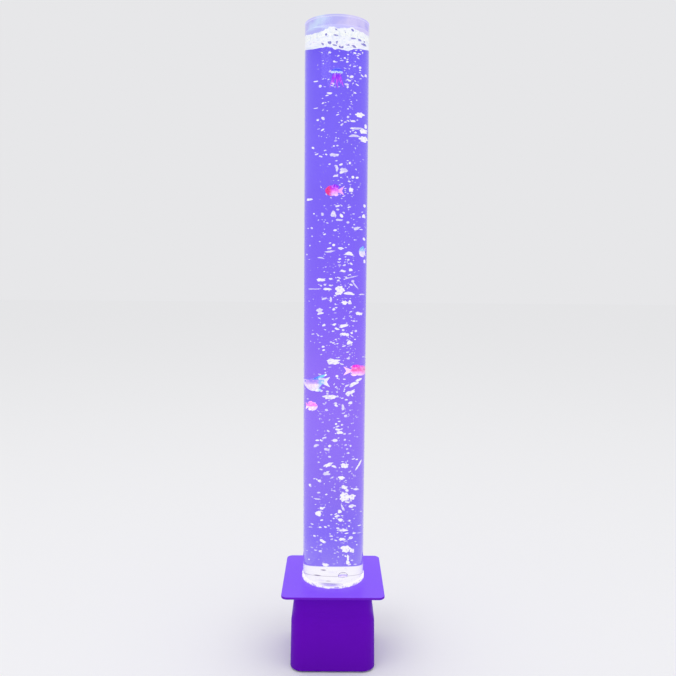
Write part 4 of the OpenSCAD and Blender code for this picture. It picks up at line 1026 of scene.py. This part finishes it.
def fin(name, rays, outline, ripple):
    """A fin from a grid: u runs along its root and v out to its edge, with raised rays."""
    sheet = add_shape(
        name, bpy.ops.mesh.primitive_grid_add, x_subdivisions=4 * rays, y_subdivisions=6,
        size=1)

    def moved(at):
        u, v = at.x + 0.5, at.y + 0.5
        x, z = outline(u, v)
        return Vector((x, ripple * math.cos(2 * math.pi * rays * u) * (0.3 + v), z))

    reshape(sheet, moved)
    return finish(sheet, 60, SOLIDIFY={"thickness": 0.0006, "offset": 0})


def fish_eye(side, length, height, lag, sag):
    """A domed eye with a raised ring, pressed into the head."""
    at = (
        -length / 2 + body_share * length * eye_at,
        side * 0.4 * fish_swell(eye_at, lag) * fish_breadth,
        0.1 * height + fish_middle(eye_at, height, lag, sag))
    eye = add_shape(
        "fish_eye", bpy.ops.mesh.primitive_uv_sphere_add, segments=14, ring_count=8,
        radius=0.034 * length, location=at)
    bpy.ops.transform.resize(value=(1, 0.6, 1), center_override=at)
    pick(eye, "FACE", lambda middle: side * (middle.y - at[1]) > 0.014 * length)
    bpy.ops.mesh.inset(thickness=0.004 * length)
    bpy.ops.transform.translate(value=(0, side * 0.003 * length, 0))
    return finish(eye, 50)


def fish_paint(name, at, turn, sides, streak, ends):
    """Tints by place on the fish, in mm: sides from belly to back, and ends along it.

    A stop of sides is (height, colour). One of ends is (start, full, colour, share).
    """
    made, tree, surface = material(name)
    local = seen_from(tree, at, Rotation=(0, 0, turn))
    mottle = ranged(tree, noise(tree, local, 260, 3), 0.3, 0.7, -0.0014, 0.0014)
    height = calc(tree, "ADD", along(tree, local, "Z"), mottle)
    length = calc(tree, "ADD", along(tree, local, "X"), mottle)
    tone = hues(tree, height, [(z / 1000, colour) for z, colour in sides])
    upright = add(tree, "Mapping", {"Vector": local, "Scale": (1, 1, 0.3)}).outputs[0]
    lines = ranged(tree, noise(tree, upright, 420, 2), 0.5, 0.66, 0, 0.6)
    tone = blend(tree, lines, tone, streak)
    for start, full, colour, share in ends:
        reach = ranged(tree, length, start / 1000, full / 1000, 0, share)
        tone = blend(tree, reach, tone, colour)
    scales = add(tree, "TexVoronoi", {"Vector": local, "Scale": 520}).outputs["Distance"]
    bump = bumped(tree, scales, 0.4, 0.0004)
    # the fish glow with painted light from the lit water
    shade(
        tree, surface, tone, Roughness=ranged(tree, scales, 0, 1, 0.25, 0.45),
        Normal=bump, glow=0.62)
    return made


def eye_paint():
    made, tree, surface = material("eye")
    grain = noise(tree, spot(tree), 1500, 2)
    tone = blend(tree, ranged(tree, grain, 0.4, 0.7), (62, 50, 110), (96, 80, 150))
    shade(tree, surface, tone, Roughness=0.12)
    return made


dark_eye = eye_paint()


def make_fish(node, slot, at, heading, length, height, paint, lag=0.78, sag=0.0, swept=False):
    """One fish: body, fins and eyes joined, turned to its heading and put in its place."""
    nose, root = -length / 2, -length / 2 + body_share * length
    tail_l = length - body_share * length
    reach = 0.42 * height

    def tail(u, v):
        spread = (2 * u - 1) * (0.28 + 0.72 * v ** 0.8)
        fork = 1 - 0.4 * (1 - abs(2 * u - 1)) * v
        return root - 0.0012 + (tail_l + 0.001) * v * fork, reach * spread + 0.2 * sag * height

    def ridge(side, start, span, lean, base, edge, rise):
        """A fin on the back, 1, or belly, -1, in shares of the fish's length and height."""
        def outline(u, v):
            out = edge + rise * math.sin(math.pi * (0.12 + 0.85 * u)) ** 0.6
            return (nose + (start + span * u + lean * v) * length,
                    side * (base + out * v) * height)

        return outline

    back = ridge(1, 0.26, 0.4, 0.07, 0.24, 0.06, 0.3)
    below = ridge(-1, 0.42, 0.24, 0.05, 0.26 + 0.25 * sag, 0.04, 0.22)

    def swept_back(u, v):
        front = (-0.16 + 0.53 * v ** 1.4, 0.15 + 0.65 * v ** 0.75)
        rear = (0.12 + 0.28 * v ** 1.3, 0.15 + 0.59 * v ** 0.8)
        return (length * (front[0] * (1 - u) + rear[0] * u),
                height * (front[1] * (1 - u) + rear[1] * u))

    def beside(u, v):
        return nose + (0.3 + 0.2 * v) * length, (2 * u - 1) * (0.0012 + 0.0022 * v)

    parts = [
        fish_body(length, height, lag, sag),
        fin("fish_tail", 5, tail, 0.0004),
        fin("fish_back", 5, swept_back if swept else back, 0.0004),
        fin("fish_below", 3, below, 0.0004),
    ]
    for side in (-1, 1):
        paddle = fin("fish_paddle", 3, beside, 0.0002)
        paddle.data.transform(
            Matrix.Translation((0, side * 0.36 * fish_breadth, -0.06 * height))
            @ Matrix.Rotation(side * math.radians(62), 4, "X"))
        parts.append(paddle)
    for part in parts:
        part.data.materials.append(paint)
    for side in (-1, 1):
        eye = fish_eye(side, length, height, lag, sag)
        eye.data.materials.append(dark_eye)
        parts.append(eye)
    fish = joined(node + "_toy", parts)
    fish.data.transform(Matrix.Translation(at) @ Matrix.Rotation(heading, 4, "Z"))
    place(fish, [], node + "_body", slot, [node])


# by node: material slot, place, heading, length and height, and then the sides, the streaks
# and the ends, as fish_paint takes them
shoal = {
    "red_fish": (
        "fish_red", (-0.002, -0.014, 0.912), 0, 0.029, 0.0191,
        [(-7, (255, 222, 250)), (-2, (252, 158, 222)), (2, (238, 84, 190)),
         (6, (172, 20, 206)), (10, (150, 14, 204))],
        (255, 180, 232), [(-3, -9, (250, 58, 112), 1.0), (5, 9, (252, 196, 242), 0.9)]),
    "blue_fish": (
        "fish_blue", (0.044, -0.009, 0.8), 90, 0.031, 0.0186,
        [(-6, (252, 250, 255)), (0, (244, 248, 255)), (3, (150, 220, 252)),
         (8, (84, 176, 246))],
        (236, 246, 255), [(9, 12, (250, 250, 255), 0.8)]),
    "pink_fish": (
        "fish_pink", (0.029, 0.015, 0.572), 180, 0.034, 0.0197,
        [(-8, (255, 240, 250)), (-4, (255, 190, 222)), (0, (250, 112, 154)),
         (5, (248, 96, 156)), (8, (236, 40, 184))],
        (255, 196, 210), [(-7, -12, (255, 150, 172), 0.6), (5, 9, (255, 226, 246), 0.9)]),
    "cyan_fish": (
        "fish_cyan", (-0.026, 0.015, 0.547), 0, 0.04, 0.0232,
        [(-12, (244, 255, 255)), (-3.5, (254, 252, 255)), (-1, (222, 206, 252)),
         (3, (178, 154, 248)), (7, (148, 134, 247)), (9.5, (72, 134, 241)),
         (18, (84, 160, 246))],
        (226, 190, 246),
        [(2, 7, (124, 222, 250), 0.7), (11, 13, (248, 250, 255), 0.9),
         (-12, -16, (248, 246, 255), 0.6)]),
    "pale_fish": (
        "fish_pale", (-0.038, -0.011, 0.505), 180, 0.024, 0.0163,
        [(-6, (255, 252, 255)), (-0.5, (255, 244, 252)), (1.2, (255, 152, 208)),
         (5, (255, 136, 196)), (9, (255, 190, 228))],
        (255, 226, 242), [(-9, -11, (255, 206, 236), 0.4)]),
}
for node, (slot, at, heading, length, height, *tints) in shoal.items():
    turn = math.radians(heading)
    paint = fish_paint(node.replace("_", " "), at, turn, *tints)
    form = {"lag": 1.15, "sag": 0.7, "swept": True} if node == "cyan_fish" else {}
    make_fish(node, slot, at, turn, length, height, paint, **form)

# ---- jellyfish ----
# A toy jellyfish of soft clear plastic: a blue bell with a pale scalloped rim, and violet to
# pink wavy tentacles that hang from its floor and flare as they fall.

jelly_low, jelly_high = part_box("jellyfish")
# the bell's outside and its hollow, as radius and height in mm
bell_profile = [
    (9.6, 0.0), (10.0, 0.6), (9.95, 1.5), (9.4, 3.3), (8.4, 5.0), (6.7, 6.5), (4.6, 7.6),
    (2.4, 8.2), (0.6, 8.4),
]
bell_hollow = [(8.7, 0.25), (8.1, 1.4), (6.5, 3.8), (4.0, 5.6), (1.1, 6.5)]
bell_lobes = 12
# how high over the rim the arms begin
arm_root = 0.0012
jelly_at = Vector((
    (jelly_low.x + jelly_high.x) / 2, (jelly_low.y + jelly_high.y) / 2,
    jelly_high.z - bell_profile[-1][1] / 1000))


def jelly_paint():
    made, tree, surface = material("jellyfish")
    local = seen_from(tree, tuple(jelly_at))
    mottle = ranged(tree, noise(tree, local, 300, 3), 0.3, 0.7, -0.0006, 0.0006)
    height = calc(tree, "ADD", along(tree, local, "Z"), mottle)
    upright = add(tree, "Mapping", {"Vector": local, "Scale": (1, 1, 0.2)}).outputs[0]
    strands = ranged(tree, noise(tree, upright, 300, 2), 0.42, 0.6)
    arms = blend(
        tree, strands,
        hues(tree, height, [
            (-0.024, (226, 92, 226)), (-0.01, (172, 24, 204)),
            (-0.001, (112, 22, 206))]),
        hues(tree, height, [
            (-0.024, (238, 150, 244)), (-0.01, (206, 96, 236)),
            (-0.001, (206, 170, 250))]))
    dashes = ranged(tree, noise(tree, upright, 420, 2), 0.36, 0.5)
    rim = blend(tree, dashes, (120, 150, 248), (214, 244, 255))
    dome = hues(tree, height, [
        (0.0016, (96, 120, 246)), (0.004, (72, 84, 238)),
        (0.0085, (88, 86, 246))])
    tone = blend(tree, ranged(tree, height, -0.0008, -0.0002), arms, rim)
    tone = blend(tree, ranged(tree, height, 0.0016, 0.0024), tone, dome)
    shine = ranged(tree, noise(tree, local, 700), 0, 1, 0.15, 0.35)
    # the jellyfish glows with painted light from the lit water
    shade(tree, surface, tone, Roughness=shine, Specular_IOR_Level=0.2, glow=0.66)
    return made


def jelly_bell():
    """The bell, extruded ring by ring from its rim, with a hollow sunk in from below."""
    bell = add_shape(
        "jelly_bell", bpy.ops.mesh.primitive_circle_add, vertices=48,
        radius=bell_profile[0][0] / 1000, fill_type="NGON")
    for profile in (bell_profile, bell_profile[:1] + bell_hollow):
        for (before, low), (after, high) in zip(profile, profile[1:]):
            ring(
                Vector((0, 0, low / 1000)), Vector((0, 0, high / 1000)),
                (after / before, after / before, 1))
        if profile is bell_profile:
            pick(bell, "FACE", lambda at: at.z < 1e-5 and at.xy.length < 1e-3)
    face_outwards()

    def scalloped(at):
        lobes = math.cos(bell_lobes * math.atan2(at.y, at.x))
        near = max(0.0, 1 - at.z / 0.005) * min(1.0, at.xy.length / 0.009)
        inward = 1 - 0.035 * near * (1 - lobes)
        return Vector((at.x * inward, at.y * inward, at.z - 0.0005 * near * lobes))

    reshape(bell, scalloped)
    return finish(bell, 50)


def jelly_arm(drop, thick, out, flare):
    """One wavy arm, extruded ring by ring downwards and moved aside as it falls."""
    here, before, steps = Vector((out, 0, arm_root)), 1.0, 14
    arm = add_shape(
        "jelly_arm", bpy.ops.mesh.primitive_circle_add, vertices=8, radius=thick,
        fill_type="NGON", location=here)
    for k in range(1, steps + 1):
        t = k / steps
        there = Vector((
            out + flare * t ** 1.2, 0.0018 * math.sin(5.2 * t) * t, arm_root - drop * t))
        after = (1 - 0.6 * t) * (1 + 0.18 * math.cos(math.pi * k))
        ring(here, there, (after / before, after / before, 1))
        here, before = there, after
    face_outwards()
    return finish(arm, 60)


jelly_parts = [jelly_bell()]
hang = jelly_at.z - jelly_low.z
for arms, drop, thick, out, flare, start in (
    (8, hang, 0.0009, 0.0055, 0.0056, 0), (5, 0.74 * hang, 0.0011, 0.0024, 0.0034, 20)
):
    arm = jelly_arm(drop, thick, out, flare)
    for index in range(arms):
        copy = linked("jelly_arm", arm.data.copy())
        copy.data.transform(
            Matrix.Rotation(math.radians(start + 360 / arms * index), 4, "Z")
            @ Matrix.Diagonal((1, 1, 1 - 0.16 * (index % 2), 1)))
        jelly_parts.append(copy)
    bpy.data.objects.remove(arm)
jelly = joined("jellyfish_toy", jelly_parts)
jelly.data.transform(Matrix.Translation(jelly_at))
place(jelly, [jelly_paint()], "jellyfish_body", "jelly_blue", ["jellyfish"])

# ---- stage ----
# A plain pale floor and pale surroundings, with two large soft lamps from above. The camera
# stands 1.35 m in front of the lamp, 0.77 m over the floor, and looks slightly down.

bpy.ops.object.select_all(action="DESELECT")
bpy.ops.mesh.primitive_plane_add(size=30)
floor = bpy.context.object
floor.name = "floor"
floor_paint, tree, surface = material("floor pale")
floor_shader = add(tree, "BsdfDiffuse", {"Color": (240, 240, 242)})
tree.links.new(floor_shader.outputs[0], surface)
floor.data.materials.append(floor_paint)

world = bpy.data.worlds.new("surroundings")
bpy.context.scene.world = world
world.use_nodes = True
tree = world.node_tree
tree.nodes.clear()
path = add(tree, "LightPath").outputs
shown = calc(
    tree, "MAXIMUM", calc(tree, "MAXIMUM", path["Is Camera Ray"], path["Is Glossy Ray"]),
    path["Is Transmission Ray"])
lighting = add(tree, "Background", {"Color": (1, 1, 1, 1), "Strength": 0.9}).outputs[0]
backdrop = add(tree, "Background", {"Color": (231, 231, 233), "Strength": 1.0}).outputs[0]
both = add(tree, "MixShader", {0: shown, 1: lighting, 2: backdrop}).outputs[0]
tree.links.new(both, tree.nodes.new("ShaderNodeOutputWorld").inputs["Surface"])


def soft_lamp(name, at, aim, size, power):
    """A square soft lamp at a place, turned to another."""
    data = bpy.data.lights.new(name, "AREA")
    data.shape, data.size, data.energy = "SQUARE", size, power
    made = linked(name, data)
    made.location = at
    made.rotation_euler = (Vector(aim) - Vector(at)).to_track_quat("-Z", "Y").to_euler()


soft_lamp("soft_left", (-1.7, -1.9, 3.8), (0, 0, 0.3), 2.2, 20)
soft_lamp("soft_right", (1.9, -1.2, 3.6), (0, 0, 0.3), 2.2, 9)

camera_lens = bpy.data.cameras.new("camera")
camera_lens.sensor_width = 36
camera_lens.lens = 37.406
camera = linked("camera", camera_lens)
camera_at = (-0.0005, -1.3538, 0.7677)
camera_yaw, camera_pitch, camera_roll = -0.0049, 0.0977, 0.008
camera.matrix_world = (
    Matrix.Translation(camera_at)
    @ Matrix.Rotation(camera_yaw, 4, "Z")
    @ Matrix.Rotation(math.pi / 2 - camera_pitch, 4, "X")
    @ Matrix.Rotation(camera_roll, 4, "Z")
)
bpy.context.scene.camera = camera
bpy.context.scene.view_settings.view_transform = "Standard"
